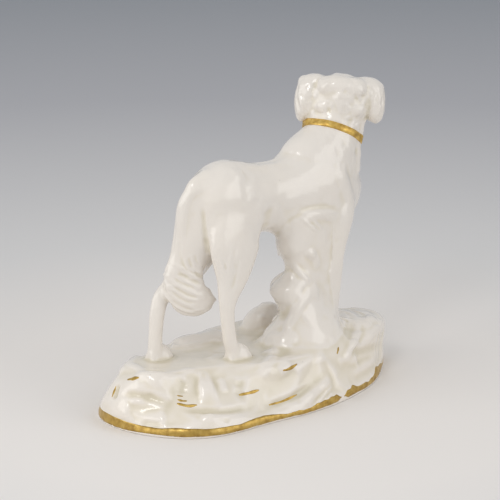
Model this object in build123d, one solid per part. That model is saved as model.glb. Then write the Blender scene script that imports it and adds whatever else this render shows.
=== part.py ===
"""Standing porcelain dog on a rocky base, in the pieces that a figure maker casts and sticks together with slip.

The dog faces +X, its left side is +Y and +Z is up. The origin is on the underside, at the middle of the base.
Lengths are millimetres. Every table of shares is a hand-chosen list of parts of the sizes named beside it.
"""

import os

from build123d import *

# Driving sizes of the whole figure
base_length = 124.0
base_width = 60.0
plateau_height = 18.5
body_length = 78.0
body_offset = 8.0
rump_height = 67.0
chest_width = 24.6
hip_width = 23.0

# Base: a hollow rocky mound, closed below by a slab with a vent hole
base_wall = 4.0
base_roof = 4.5
floor_thickness = 3.0
floor_clearance = 0.1
vent_diameter = 4.0
vent_offset = 22.0
gilt_thickness = 0.3
gilt_gap = 0.06
gilt_low = 0.7
gilt_high = 3.0

# Rock under the chest, front bank, boulder and ledge
support_length = 22.0
support_width = 17.0
support_offset = 12.0
support_height = 46.0
bank_length = 31.0
bank_width = 29.0
bank_height = 22.5
boulder_length = 19.0
boulder_width = 13.0
boulder_height = 7.5
ledge_length = 30.0
ledge_width = 11.0
ledge_height = 2.8

# Neck and collar
neck_breadth = 26.0
neck_width = 22.4
neck_rise = 33.0
neck_reach = 12.5
collar_width = 2.8
collar_thickness = 0.45

# Head and ears
head_length = 30.0
head_width = 17.8
head_height = 17.4
head_turn = 47.0
head_pitch = 8.0
head_roll = 4.0
ear_length = 17.0
ear_breadth = 10.4
ear_thickness = 6.2
ear_spread = 12.6

# Legs, paws and tail
thigh_breadth = 21.0
thigh_thickness = 9.6
shank_diameter = 4.8
hind_trail = 22.0
upper_arm_breadth = 15.0
upper_arm_thickness = 9.0
foreleg_diameter = 6.0
foreleg_lead = 8.0
stance_width = 18.0
paw_length = 9.6
paw_width = 7.2
paw_height = 5.4
paw_bedding = 1.5
tail_diameter = 5.2
plume_depth = 13.0
tail_drop = 39.0
tail_sweep = 12.0

# Cuts run this far past what they cut
overrun = 20.0

half_length = base_length / 2
half_width = base_width / 2
buttock_x = body_offset - body_length / 2
forward = Vector(1, 0, 0)
left = Vector(0, 1, 0)
up = Vector(0, 0, 1)


def oval(place, breadth, width):
    """A level oval: breadth along X and width along Y, centred on place, with its seam at the back."""
    return Plane(origin=place, x_dir=-forward, z_dir=up) * Ellipse(breadth / 2, width / 2)


def tilted_oval(place, along, breadth, width):
    """An oval square to the direction along: width lies across the dog, breadth in its own plane."""
    run = Vector(*along).normalized()
    across = (left - run * left.dot(run)).normalized()
    return Plane(origin=place, x_dir=across, z_dir=run) * Ellipse(width / 2, breadth / 2)


def egg(station, low, high, width, widest_share):
    """An upright egg across the X axis: its widest level lies widest_share of the way up."""
    middle = low + (high - low) * widest_share
    level = Plane(origin=(station, 0, middle), x_dir=left, z_dir=forward)
    upper = EllipticalCenterArc((0, 0), width / 2, high - middle, start_angle=0, arc_size=180)
    lower = EllipticalCenterArc((0, 0), width / 2, middle - low, start_angle=180, arc_size=180)
    return level * make_face([upper, lower])


def rock_outline(shares, length, width, height):
    """A closed level outline: each share stretches an oval of that length and width at equal steps round it."""
    step = 360 / len(shares)
    points = []
    for index, share in enumerate(shares):
        arm = Vector(1, 0, 0).rotate(Axis.Z, index * step)
        points.append((arm.X * length / 2 * share, arm.Y * width / 2 * share))
    return Pos(0, 0, height) * make_face(Spline(*points, periodic=True))


def rock(levels, length, width, height):
    """A rock lofted through outlines: levels holds (height share, X shift share, Y shift share, radius shares)."""
    outlines = []
    for height_share, shift_x_share, shift_y_share, shares in levels:
        outline = rock_outline(shares, length, width, height * height_share)
        outlines.append(Pos(length * shift_x_share, width * shift_y_share, 0) * outline)
    return loft(outlines)


# Base

# Radius shares start at the front, +X, and run round by the dog's left side
foot_shares = [
    0.95, 0.97, 1.02, 1.0, 1.0, 1.05, 1.16, 1.065,
    0.99, 1.0, 1.08, 0.99, 0.98, 0.95, 0.91, 0.9,
]
skirt_shares = [
    0.945, 0.96, 1.01, 0.99, 0.99, 1.035, 1.14, 1.055,
    0.98, 0.985, 1.06, 0.975, 0.97, 0.94, 0.9, 0.895,
]
waist_shares = [
    0.94, 0.94, 0.96, 0.93, 0.92, 0.95, 1.03, 1.03,
    0.97, 0.89, 0.92, 0.86, 0.88, 0.88, 0.87, 0.9,
]
brow_shares = [
    0.93, 0.91, 0.9, 0.88, 0.86, 0.86, 0.9, 0.95,
    0.92, 0.78, 0.76, 0.79, 0.82, 0.83, 0.85, 0.905,
]
plateau_shares = [
    0.88, 0.83, 0.8, 0.78, 0.76, 0.74, 0.77, 0.86,
    0.85, 0.64, 0.6, 0.68, 0.73, 0.75, 0.79, 0.88,
]
base_levels = [
    (0.0, 0, 0, foot_shares),
    (0.18, 0, 0, skirt_shares),
    (0.47, 0, 0, waist_shares),
    (0.8, 0, 0, brow_shares),
    (1.0, 0, 0, plateau_shares),
]


def slab(low, high):
    """Everything of the figure's size between two heights."""
    return Pos(0, 0, low) * Box(
        base_length + 2 * overrun,
        base_width + 2 * overrun,
        high - low,
        align=(Align.CENTER, Align.CENTER, Align.MIN),
    )


def base_hollow(gap):
    """The room inside the base, drawn in by gap."""
    inset = 2 * (base_wall + gap)
    return rock(base_levels, base_length - inset, base_width - inset, plateau_height - base_roof)


base_form = rock(base_levels, base_length, base_width, plateau_height)
base_mound = base_form - base_hollow(0)

vent = Pos(-vent_offset, 0, 0) * Cylinder(vent_diameter / 2, 2 * overrun)
base_floor = (base_hollow(floor_clearance) & slab(0, floor_thickness)) - vent


def base_grown(growth):
    """The outside of the base, grown all round by growth."""
    return rock(base_levels, base_length + 2 * growth, base_width + 2 * growth, plateau_height)


gilt_line = (base_grown(gilt_gap + gilt_thickness) & slab(gilt_low, gilt_high)) - base_grown(gilt_gap)


# Trunk

# Station along the body from the buttock, low and high edge of the rump height, width of the chest
trunk_shares = [
    (0.03, 0.68, 0.915, 0.5),
    (0.1, 0.625, 0.98, 0.78),
    (0.2, 0.6, 1.0, 0.88),
    (0.33, 0.592, 0.965, 0.81),
    (0.45, 0.575, 0.945, 0.81),
    (0.6, 0.522, 0.985, 0.95),
    (0.75, 0.5, 1.03, 0.98),
    (0.87, 0.525, 0.94, 0.8),
    (0.955, 0.6, 0.84, 0.5),
]
trunk_widest_share = 0.52
buttock_height_share = 0.8
breast_height_share = 0.72


def above_plateau(share):
    """A height given as a share of the rump's height over the plateau."""
    return plateau_height + rump_height * share


def trunk_form():
    """The barrel of the body, from the buttock to the breast."""
    sections = [Vertex(buttock_x, 0, above_plateau(buttock_height_share))]
    for station, low, high, width in trunk_shares:
        x = buttock_x + body_length * station
        sections.append(egg(x, above_plateau(low), above_plateau(high), chest_width * width, trunk_widest_share))
    sections.append(Vertex(buttock_x + body_length, 0, above_plateau(breast_height_share)))
    return loft(sections)


# Neck: reach, sideways and rise shares, lean of the section, breadth and width shares
neck_foot_share = 0.73
neck_foot_height_share = 0.71
under_collar_shares = (0.8, 0.065, 0.658, (0.45, 0.115, 0.885), 0.745, 0.85)
neck_shares = [
    (0.0, 0.0, 0.0, (0.45, 0.0, 0.89), 1.0, 0.94),
    (0.12, 0.0, 0.27, (0.5, 0.0, 0.87), 1.3, 1.0),
    (0.45, 0.02, 0.47, (0.48, 0.05, 0.875), 1.09, 0.93),
    under_collar_shares,
    (1.0, 0.09, 0.85, (0.35, 0.15, 0.92), 0.66, 0.74),
    (1.1, 0.09, 1.0, (0.25, 0.2, 0.945), 0.56, 0.64),
]
collar_station = neck_shares.index(under_collar_shares)
neck_foot_x = buttock_x + body_length * neck_foot_share


def neck_point(station):
    """Where a station of the neck lies."""
    reach, sideways, rise = neck_shares[station][:3]
    foot = above_plateau(neck_foot_height_share)
    return Vector(neck_foot_x + neck_reach * reach, neck_reach * sideways, foot + neck_rise * rise)


def neck_form(thickening):
    """The neck from inside the chest to inside the skull, grown all round by thickening."""
    sections = []
    for station, (_, _, _, lean, breadth, width) in enumerate(neck_shares):
        across = neck_width * width + 2 * thickening
        through = neck_breadth * breadth + 2 * thickening
        sections.append(tilted_oval(neck_point(station), lean, through, across))
    return loft(sections)


collar_lean = Vector(*neck_shares[collar_station][3]).normalized()
collar_centre = neck_point(collar_station)


def neck_cut(offset):
    """The plane square to the neck, offset along it from the middle of the collar."""
    return Plane(origin=collar_centre + collar_lean * offset, z_dir=collar_lean)


neck = neck_form(0)
lower_neck = split(neck, bisect_by=neck_cut(0), keep=Keep.BOTTOM)
upper_neck = split(neck, bisect_by=neck_cut(0), keep=Keep.TOP)
torso = trunk_form() + lower_neck

collar_sleeve = neck_form(collar_thickness)
collar_above_low = split(collar_sleeve, bisect_by=neck_cut(-collar_width / 2), keep=Keep.TOP)
collar_band = split(collar_above_low, bisect_by=neck_cut(collar_width / 2), keep=Keep.BOTTOM)


# Head, drawn facing +X round its own middle and then turned to the dog's left

# Station of the head length, low and high edge of the head height, width of the head
skull_shares = [
    (-0.27, -0.3, 0.32, 0.62),
    (-0.13, -0.46, 0.46, 0.94),
    (0.0, -0.49, 0.5, 1.0),
    (0.13, -0.49, 0.47, 0.96),
    (0.26, -0.5, 0.35, 0.8),
    (0.36, -0.5, 0.22, 0.64),
    (0.5, -0.47, 0.16, 0.55),
    (0.63, -0.38, 0.13, 0.47),
]
skull_widest_share = 0.55
occiput_share = -0.32
nose_share = 0.685
nose_height_share = -0.06
head_over_neck_share = -0.02


def skull_form():
    """Skull, stop and muzzle in one swelling form."""
    sections = [Vertex(head_length * occiput_share, 0, 0)]
    for station, low, high, width in skull_shares:
        edges = (head_height * low, head_height * high)
        sections.append(egg(head_length * station, *edges, head_width * width, skull_widest_share))
    sections.append(Vertex(head_length * nose_share, 0, head_height * nose_height_share))
    return loft(sections)


# Ear: spread share, rise share of the ear length, breadth and thickness shares, lean of the section
ear_shares = [
    (0.42, 0.3, 0.6, 0.75, (0.9, 0.3)),
    (0.7, 0.3, 0.8, 1.0, (1.0, -0.25)),
    (0.9, 0.19, 0.95, 1.25, (0.5, -0.87)),
    (0.95, -0.02, 1.0, 1.28, (0.05, -1.0)),
    (0.98, -0.26, 0.92, 1.1, (-0.05, -1.0)),
    (0.98, -0.43, 0.64, 0.8, (-0.1, -1.0)),
]
ear_tip_spread_share = 0.97
ear_tip_share = -0.5
ear_back_share = 0.02


def ear_form(side):
    """A hanging ear: it rises from the skull, folds over and drops. Side is 1 for left and -1 for right."""
    back = -head_length * ear_back_share
    sections = []
    for spread, rise, breadth, thickness, (out, climb) in ear_shares:
        place = (back, side * ear_spread * spread, ear_length * rise)
        level = Plane(origin=place, x_dir=forward, z_dir=(0, side * out, climb))
        sections.append(level * Ellipse(ear_breadth * breadth / 2, ear_thickness * thickness / 2))
    tip = (back, side * ear_spread * ear_tip_spread_share, ear_length * ear_tip_share)
    return loft([*sections, Vertex(*tip)])


skull_centre = neck_point(len(neck_shares) - 1) + up * (head_height * head_over_neck_share)
head_place = Pos(skull_centre) * Rot(0, 0, head_turn) * Rot(head_roll, head_pitch, 0)
ears = {"ear_left": head_place * ear_form(1), "ear_right": head_place * ear_form(-1)}


# Legs: level ovals down the limb

# Height share of the rump, place shares of the trail and stance, breadth and thickness shares of the thigh
hind_shares = [
    (0.88, 0.0, 0.4, 0.5, 0.7),
    (0.8, 0.0, 0.64, 0.8, 0.9),
    (0.71, 0.02, 0.74, 0.98, 0.95),
    (0.575, 0.07, 0.84, 1.0, 0.95),
    (0.455, 0.125, 0.93, 0.73, 0.84),
    (0.36, 0.22, 0.98, 0.46, 0.66),
]
# Height share of the rump, place share of the trail, thickness share of the shank
shank_shares = [
    (0.29, 0.29, 1.16),
    (0.19, 0.28, 1.0),
    (0.085, 0.22, 1.02),
    (0.015, 0.14, 1.25),
]
hip_station_share = 0.18
# How far back the trailing leg is pushed at each height, how much broader the slant makes it, and how far its
# feathered thigh fills the gap between the legs
trail_shares = [
    (0.0, 1.0, 0.0),
    (0.05, 1.3, 0.4),
    (0.11, 1.3, 0.78),
    (0.22, 1.05, 0.82),
    (0.3, 1.06, 0.5),
    (0.43, 1.6, 0.1),
    (0.66, 1.05, 0.0),
    (0.74, 1.05, 0.0),
    (0.83, 1.0, 0.0),
    (0.9, 1.0, 0.0),
]
hip_x = buttock_x + body_length * hip_station_share


def paw_form(heel_x, y):
    """A paw lying on the plateau: heel, wide middle and rounded toes."""
    bed = plateau_height - paw_bedding
    sections = []
    for station, width, height in paw_shares:
        level = Plane(origin=(heel_x + paw_length * station, y, bed), x_dir=left, z_dir=forward)
        sections.append(level * Ellipse(paw_width * width / 2, (paw_height + paw_bedding) * height))
    return loft(sections)


# Station of the paw length, width and height shares
paw_shares = [
    (0.0, 0.5, 0.55),
    (0.12, 0.78, 0.85),
    (0.45, 0.95, 1.0),
    (0.75, 1.0, 0.86),
    (0.93, 0.82, 0.6),
    (1.0, 0.5, 0.35),
]
paw_heel_share = 0.34


def hind_leg(side, trail):
    """Thigh, hock, shank and paw. Trail pushes the limb back as it drops, for the leg that is left behind."""
    sections = []
    for (height, bend, out, breadth, thickness), (back, slant, fill) in zip(hind_shares, trail):
        y = side * (stance_width * out - thigh_thickness * thickness * fill) / 2
        place = (hip_x - hind_trail * (bend + back), y, above_plateau(height))
        sections.append(oval(place, thigh_breadth * breadth * slant, thigh_thickness * thickness * (1 + fill)))
    for (height, bend, thickness), (back, slant, _) in zip(shank_shares, trail[len(hind_shares) :]):
        x = hip_x - hind_trail * (bend + back)
        place = (x, side * stance_width / 2, above_plateau(height))
        sections.append(oval(place, shank_diameter * thickness * slant, shank_diameter * thickness))
    sections.append(Pos(0, 0, plateau_height - 2 * paw_bedding - place[2]) * sections[-1])
    return loft(sections) + paw_form(x - paw_length * paw_heel_share, side * stance_width / 2)


# Height share of the rump, lead share, stance share, breadth and thickness shares of the upper arm
arm_shares = [
    (0.81, -0.3, 0.62, 0.74, 0.78),
    (0.71, -0.36, 0.84, 0.9, 1.0),
    (0.59, -0.5, 0.97, 0.76, 0.95),
    (0.47, -0.69, 1.0, 0.56, 0.78),
]
# Height share of the rump, lead share, thickness share of the foreleg
forearm_shares = [
    (0.335, -0.81, 1.06),
    (0.2, -0.88, 0.98),
    (0.085, -0.94, 0.95),
    (0.015, -0.9, 1.12),
]
shoulder_station_share = 0.83
shoulder_x = buttock_x + body_length * shoulder_station_share


def foreleg(side, lead):
    """Shoulder, forearm and paw. Lead is how far the leg leans back: 1 as in arm_shares, 0 plumb."""
    sections = []
    for height, slope, out, breadth, thickness in arm_shares:
        place = (shoulder_x + foreleg_lead * slope * lead, side * stance_width / 2 * out, above_plateau(height))
        sections.append(oval(place, upper_arm_breadth * breadth, upper_arm_thickness * thickness))
    for height, slope, thickness in forearm_shares:
        x = shoulder_x + foreleg_lead * slope * lead
        place = (x, side * stance_width / 2, above_plateau(height))
        sections.append(oval(place, foreleg_diameter * thickness, foreleg_diameter * thickness))
    sections.append(Pos(0, 0, plateau_height - 2 * paw_bedding - place[2]) * sections[-1])
    return loft(sections) + paw_form(x - paw_length * paw_heel_share, side * stance_width / 2)


straight_shares = [(0.0, 1.0, 0.0)] * len(trail_shares)
legs = {
    "hind_leg_left": hind_leg(1, trail_shares),
    "hind_leg_right": hind_leg(-1, straight_shares),
    "foreleg_left": foreleg(1, 0.1),
    "foreleg_right": foreleg(-1, 1.0),
}


# Tail: from the rump down behind the left thigh, then a plume that curls across to the right hock

# Drop share, back share and sideways share of the sweep, direction, depth and thickness shares of the tail
stem_shares = [
    (0.0, -0.55, -0.05, (-0.95, 0.1, -0.3), 0.8, 0.85),
    (0.03, 0.03, 0.04, (-0.85, 0.15, -0.5), 0.9, 0.95),
    (0.13, 0.21, 0.13, (-0.4, 0.15, -0.9), 0.9, 1.0),
    (0.3, 0.25, 0.24, (-0.05, 0.12, -1.0), 0.88, 1.0),
    (0.46, 0.23, 0.3, (0.0, 0.08, -1.0), 0.92, 1.0),
    (0.6, 0.27, 0.33, (-0.15, 0.05, -0.98), 1.1, 1.05),
    (0.74, 0.37, 0.35, (-0.1, 0.0, -1.0), 1.3, 1.0),
    (0.86, 0.4, 0.33, (0.0, -0.05, -1.0), 1.2, 0.85),
]
plume_shares = [
    (0.84, 0.48, 0.35, (0.75, -0.45, -0.45), 0.6, 0.75),
    (0.9, 0.31, 0.25, (0.78, -0.47, -0.4), 0.92, 1.05),
    (0.965, 0.1, 0.11, (0.83, -0.5, -0.25), 1.0, 1.1),
    (0.99, -0.16, -0.02, (0.86, -0.5, -0.1), 0.95, 1.0),
    (1.0, -0.44, -0.17, (0.86, -0.5, -0.05), 0.62, 0.75),
]
plume_ends_share = [(0.8, 0.56, 0.4), (1.0, -0.68, -0.3)]
tail_root_height_share = 0.89


def tail_point(drop, back, sideways):
    """A place on the tail, from where it leaves the rump."""
    root = above_plateau(tail_root_height_share)
    return Vector(buttock_x - tail_sweep * back, tail_sweep * sideways, root - tail_drop * drop)


def tail_sections(shares, full_depth):
    """Ovals square to the tail: thin from side to side of its leaf shape and full_depth deep."""
    sections = []
    for drop, back, sideways, run, depth, thickness in shares:
        run = Vector(*run).normalized()
        across = (left + forward - run * (left + forward).dot(run)).normalized()
        level = Plane(origin=tail_point(drop, back, sideways), x_dir=across, z_dir=run)
        sections.append(level * Ellipse(tail_diameter * thickness / 2, full_depth * depth / 2))
    return sections


def tail_form():
    """The stem of the tail, and the leaf-shaped plume that it hangs into."""
    stem = loft(tail_sections(stem_shares, tail_diameter))
    ends = [Vertex(*tail_point(*share)) for share in plume_ends_share]
    return stem + loft([ends[0], *tail_sections(plume_shares, plume_depth), ends[1]])


# Rocks on the base

# Radius shares of each outline start at +X and run round by +Y
support_levels = [
    (-0.2, -0.04, -0.1, [1.48, 1.1, 0.9, 1.0, 1.3, 1.7, 2.1, 1.8]),
    (0.0, -0.04, -0.08, [1.44, 1.1, 0.92, 1.02, 1.3, 1.55, 1.85, 1.6]),
    (0.11, -0.03, -0.03, [1.38, 1.0, 0.82, 0.85, 1.05, 1.3, 1.6, 1.45]),
    (0.195, -0.02, 0.0, [1.34, 0.95, 0.6, 0.52, 0.66, 1.1, 1.44, 1.34]),
    (0.3, -0.02, 0.0, [1.32, 0.92, 0.7, 0.63, 0.76, 1.05, 1.22, 1.18]),
    (0.455, -0.02, 0.0, [1.32, 0.92, 0.68, 0.62, 0.75, 1.0, 0.98, 1.06]),
    (0.565, 0.0, 0.0, [1.34, 0.9, 0.48, 0.34, 0.42, 0.66, 0.88, 1.02]),
    (0.67, 0.02, 0.0, [1.3, 0.88, 0.7, 0.62, 0.64, 0.8, 0.92, 1.03]),
    (0.78, 0.02, 0.0, [1.3, 0.88, 0.8, 0.69, 0.72, 0.83, 0.94, 1.05]),
    (0.92, 0.03, 0.03, [1.2, 0.86, 0.8, 0.74, 0.72, 0.85, 0.98, 1.05]),
    (1.0, 0.06, 0.04, [0.7, 0.55, 0.5, 0.46, 0.45, 0.55, 0.65, 0.68]),
]
support_side_share = -0.28
bank_levels = [
    (0.3, 0.0, 0.0, [0.78, 0.8, 0.85, 0.9, 0.9, 0.86, 0.74, 0.7]),
    (0.62, 0.0, 0.0, [0.82, 0.84, 0.88, 0.92, 0.92, 0.9, 0.8, 0.76]),
    (0.8, -0.03, 0.0, [0.78, 0.78, 0.8, 0.84, 0.88, 0.9, 0.82, 0.76]),
    (0.93, -0.15, -0.02, [0.46, 0.47, 0.48, 0.54, 0.58, 0.64, 0.58, 0.48]),
    (1.0, -0.22, -0.04, [0.2, 0.22, 0.25, 0.28, 0.3, 0.34, 0.32, 0.24]),
]
boulder_levels = [
    (-0.3, 0.0, 0.0, [1.0, 1.0, 0.95, 1.0, 1.02, 1.0, 0.95, 1.0]),
    (0.35, 0.02, 0.0, [0.95, 0.9, 0.9, 0.92, 0.9, 0.92, 0.9, 0.95]),
    (0.8, 0.08, 0.02, [0.66, 0.64, 0.66, 0.62, 0.55, 0.6, 0.64, 0.66]),
    (1.0, 0.1, 0.02, [0.3, 0.28, 0.3, 0.28, 0.26, 0.28, 0.3, 0.3]),
]
ledge_levels = [
    (-0.5, 0.0, 0.0, [1.0, 1.0, 1.0, 1.0, 1.0, 1.0, 1.0, 1.0]),
    (0.4, 0.0, 0.0, [0.95, 0.92, 0.9, 0.94, 0.9, 0.88, 0.92, 0.95]),
    (0.85, 0.02, 0.04, [0.7, 0.68, 0.62, 0.66, 0.64, 0.6, 0.64, 0.7]),
    (1.0, 0.04, 0.06, [0.4, 0.36, 0.3, 0.34, 0.32, 0.3, 0.32, 0.38]),
]
bank_front_share = 0.655
bank_side_share = -0.12
boulder_front_share = 0.2
boulder_side_share = 0.4
ledge_front_share = -0.27
ledge_side_share = 0.42


def on_plateau(front_share, side_share):
    """A place on the plateau, as shares of half the base."""
    return Pos(half_length * front_share, half_width * side_share, plateau_height)


support_place = Pos(support_offset, support_width * support_side_share, plateau_height)
support_form = support_place * rock(support_levels, support_length, support_width, support_height)
bank_form = Pos(half_length * bank_front_share, half_width * bank_side_share, 0) * rock(
    bank_levels, bank_length, bank_width, bank_height
)
boulder_form = on_plateau(boulder_front_share, boulder_side_share) * rock(
    boulder_levels, boulder_length, boulder_width, boulder_height
)
ledge_form = on_plateau(ledge_front_share, ledge_side_share) * rock(
    ledge_levels, ledge_length, ledge_width, ledge_height
)


# Assembly: each piece is trimmed to the ones it is stuck to


def trimmed(form, *others):
    """The main body of a form, once the pieces that it meets have been cut from it."""
    for other in others:
        form = form - other
    return form.solids().sort_by(SortBy.VOLUME)[-1]


head = trimmed(head_place * skull_form() + upper_neck, torso)
pieces = {"base_mound": base_mound, "base_floor": base_floor, "gilt_line": gilt_line, "torso": torso, "head": head}
for name, form in ears.items():
    pieces[name] = trimmed(form, head, collar_band)
legs["hind_leg_left"] -= legs["hind_leg_right"]
for name, form in legs.items():
    pieces[name] = trimmed(form, torso, base_form)
fore_legs = [legs["foreleg_left"], legs["foreleg_right"]]
pieces["tail"] = trimmed(tail_form(), legs["hind_leg_left"], legs["hind_leg_right"], torso)
pieces["collar"] = collar_band - torso - head
pieces["rock_support"] = trimmed(support_form, *fore_legs, torso, base_form)
pieces["front_bank"] = trimmed(bank_form, support_form, *fore_legs, base_form)
pieces["far_boulder"] = trimmed(boulder_form, support_form, legs["foreleg_left"], base_form)
pieces["far_ledge"] = trimmed(ledge_form, boulder_form, legs["hind_leg_left"], base_form)

os.makedirs("parts", exist_ok=True)
for name, piece in pieces.items():
    export_step(piece, f"parts/{name}.step")
    print(name, "solids", len(piece.solids()), "volume", round(piece.volume))
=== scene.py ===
# %% [markdown]
# # A white and gilt porcelain dog
# The solids of this figure come from CAD as separate pieces: trunk, head, ears, legs, tail, rocks and base.
# A potter sticks such pieces together with wet slip, so that the seams vanish under the glaze.
# This script does the same: it fuses the pieces into one clay skin, models hair, paws and rock on it,
# cuts it back into the named pieces along the hidden seams, and then lays the gilding on top.

# %% Load the frame
import math

import bpy
import numpy as np
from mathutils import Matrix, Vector
from mathutils.bvhtree import BVHTree


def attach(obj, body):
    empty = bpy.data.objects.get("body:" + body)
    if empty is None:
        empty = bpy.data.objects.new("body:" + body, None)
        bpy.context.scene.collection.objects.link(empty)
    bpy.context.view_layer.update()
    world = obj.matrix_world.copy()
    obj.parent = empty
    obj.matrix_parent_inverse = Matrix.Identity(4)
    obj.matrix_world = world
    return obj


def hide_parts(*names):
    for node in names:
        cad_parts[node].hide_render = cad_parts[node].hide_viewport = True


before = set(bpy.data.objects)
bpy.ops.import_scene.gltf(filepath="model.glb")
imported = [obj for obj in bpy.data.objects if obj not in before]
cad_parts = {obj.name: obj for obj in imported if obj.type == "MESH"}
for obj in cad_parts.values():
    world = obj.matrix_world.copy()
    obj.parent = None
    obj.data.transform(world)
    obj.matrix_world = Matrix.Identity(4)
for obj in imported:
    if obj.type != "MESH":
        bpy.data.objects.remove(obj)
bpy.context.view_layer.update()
mm = 0.001
print("CAD nodes:", len(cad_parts))

# %% [markdown]
# ## Camera
# The camera looks from behind the right flank and a little from above. It could be placed by eye, but then
# nothing drawn on the picture could be found again on the clay. So it is worked out from two angles, a
# distance in metres and a focal length in pixels, and `sight` turns a pixel of the picture into a line of
# sight.

# %% Camera
IMAGE = 500
FOCAL_PX = 2330.0
DISTANCE, SENSOR = 0.8, 36.0
CLIP_NEAR, CLIP_FAR = 0.01, 60.0
AIM = np.array([-4.5, 0.0, 52.0]) * mm
azimuth, elevation = math.radians(-43.0), math.radians(15.5)
back = np.array([
    math.sin(azimuth) * math.cos(elevation), -math.cos(azimuth) * math.cos(elevation), math.sin(elevation),
])
right = np.array([math.cos(azimuth), math.sin(azimuth), 0.0])
up = np.cross(back, right)
eye = AIM + back * DISTANCE

camera = bpy.data.objects.new("camera", bpy.data.cameras.new("camera"))
camera.data.sensor_width = SENSOR
camera.data.lens = SENSOR * FOCAL_PX / IMAGE
camera.data.clip_start, camera.data.clip_end = CLIP_NEAR, CLIP_FAR
camera.location = eye
camera.rotation_euler = Vector(-back).to_track_quat("-Z", "Y").to_euler()
bpy.context.scene.collection.objects.link(camera)
bpy.context.scene.camera = camera


def sight(pixel):
    """The direction in which a pixel of the picture is seen."""
    x, y = pixel
    ray = -back + right * (x - IMAGE / 2) / FOCAL_PX - up * (y - IMAGE / 2) / FOCAL_PX
    return ray / np.linalg.norm(ray)


print("camera at", np.round(eye, 3), "m")

# %% [markdown]
# ## Mesh helpers
# Blender can walk through a mesh vertex by vertex, but 300 thousand vertices are quicker to handle as
# number arrays. `arrays` reads a mesh into arrays, and `make_object` writes one.

# %% Mesh helpers
def arrays(mesh):
    """Vertex places and triangles of a mesh."""
    mesh.calc_loop_triangles()
    places = np.empty(len(mesh.vertices) * 3, np.float32)
    mesh.vertices.foreach_get("co", places)
    corners = np.empty(len(mesh.loop_triangles) * 3, np.int32)
    mesh.loop_triangles.foreach_get("vertices", corners)
    return places.reshape(-1, 3).astype(float), corners.reshape(-1, 3)


def make_object(name, places, quads=(), triangles=()):
    """A mesh object from arrays of places, quads and triangles."""
    quads = np.asarray(quads, np.int32).reshape(-1, 4)
    triangles = np.asarray(triangles, np.int32).reshape(-1, 3)
    mesh = bpy.data.meshes.new(name)
    mesh.vertices.add(len(places))
    mesh.vertices.foreach_set("co", np.asarray(places, np.float32).ravel())
    totals = np.concatenate([np.full(len(quads), 4), np.full(len(triangles), 3)]).astype(np.int32)
    mesh.loops.add(int(totals.sum()))
    corners = np.concatenate([quads.ravel(), triangles.ravel()]).astype(np.int32)
    mesh.loops.foreach_set("vertex_index", corners)
    mesh.polygons.add(len(totals))
    mesh.polygons.foreach_set("loop_start", np.concatenate([[0], np.cumsum(totals)[:-1]]).astype(np.int32))
    mesh.update(calc_edges=True)
    mesh.validate()
    obj = bpy.data.objects.new(name, mesh)
    bpy.context.scene.collection.objects.link(obj)
    return obj


# %% [markdown]
# ## Soft steps, soft lumps and smooth lines
# Hand-made forms have no hard switch. `smoothstep` fades from 0 to 1, `noise` gives soft lumps that are the
# same on every run, and `resample` draws a smooth line through a few given points.

# %% Soft steps, soft lumps and smooth lines
LATTICE_PRIMES = np.array([374761393, 668265263, 2147483647])
SEED_PRIME, MIX_PRIME = 974634077, 1274126177
SPLINE_STEPS = 8


def smoothstep(x):
    """0 below 0, 1 above 1, and a soft rise between."""
    x = np.clip(x, 0.0, 1.0)
    return x * x * (3 - 2 * x)


def noise(points, size, seed):
    """Soft lumps between -1 and 1 whose width is about size."""
    cell = points / size
    corner = np.floor(cell).astype(np.int64)
    part = smoothstep(cell - corner)
    total = np.zeros(len(points))
    for step in np.ndindex(2, 2, 2):
        mixed = ((corner + step) * LATTICE_PRIMES).sum(1) + seed * SEED_PRIME
        mixed = (mixed ^ (mixed >> 13)) * MIX_PRIME
        # The lowest 16 bits, as a value between -1 and 1
        value = ((mixed ^ (mixed >> 16)) & 0xFFFF) / 32767.5 - 1.0
        weight = np.where(step, part, 1 - part).prod(1)
        total += value * weight
    return total


def resample(points, step):
    """Points at even steps along a smooth line through the given ones."""
    points = np.asarray(points, float)
    if len(points) > 2:
        padded = np.vstack([2 * points[0] - points[1], points, 2 * points[-1] - points[-2]])
        fine = []
        for i in range(1, len(padded) - 2):
            a, b, c, d = padded[i - 1 : i + 3]
            bend, twist = 2 * a - 5 * b + 4 * c - d, 3 * b - a - 3 * c + d
            for t in np.linspace(0, 1, SPLINE_STEPS + 1)[:-1]:
                fine.append(0.5 * (2 * b + (c - a) * t + bend * t * t + twist * t ** 3))
        points = np.vstack([fine, points[-1]])
    run = np.concatenate([[0], np.cumsum(np.linalg.norm(np.diff(points, axis=0), axis=1))])
    at = np.linspace(0, run[-1], max(3, int(run[-1] / step) + 1))
    return np.stack([np.interp(at, run, points[:, k]) for k in range(points.shape[1])], 1)


# %% [markdown]
# ## The head's own axes
# The dog looks away over its left side. Face, ears and hair could be given in the figure's axes, but a face
# is easier to read along the head's own directions: forward, left and up from the middle of the skull, in
# millimetres.

# %% The head's own axes
turn, pitch, roll = math.radians(47), math.radians(8), math.radians(4)
spin_z = np.array([[math.cos(turn), -math.sin(turn), 0], [math.sin(turn), math.cos(turn), 0], [0, 0, 1]])
spin_x = np.array([[1, 0, 0], [0, math.cos(roll), -math.sin(roll)], [0, math.sin(roll), math.cos(roll)]])
spin_y = np.array([[math.cos(pitch), 0, math.sin(pitch)], [0, 1, 0], [-math.sin(pitch), 0, math.cos(pitch)]])
head_axes = spin_z @ spin_x @ spin_y
head_centre = np.array([39.7, 1.1, 98.7])


def from_head(points):
    """Places in millimetres, from distances forward, left and up of the middle of the skull."""
    return np.asarray(points, float) @ head_axes.T + head_centre


print("the head looks along", np.round(head_axes[:, 0], 2))

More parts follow.
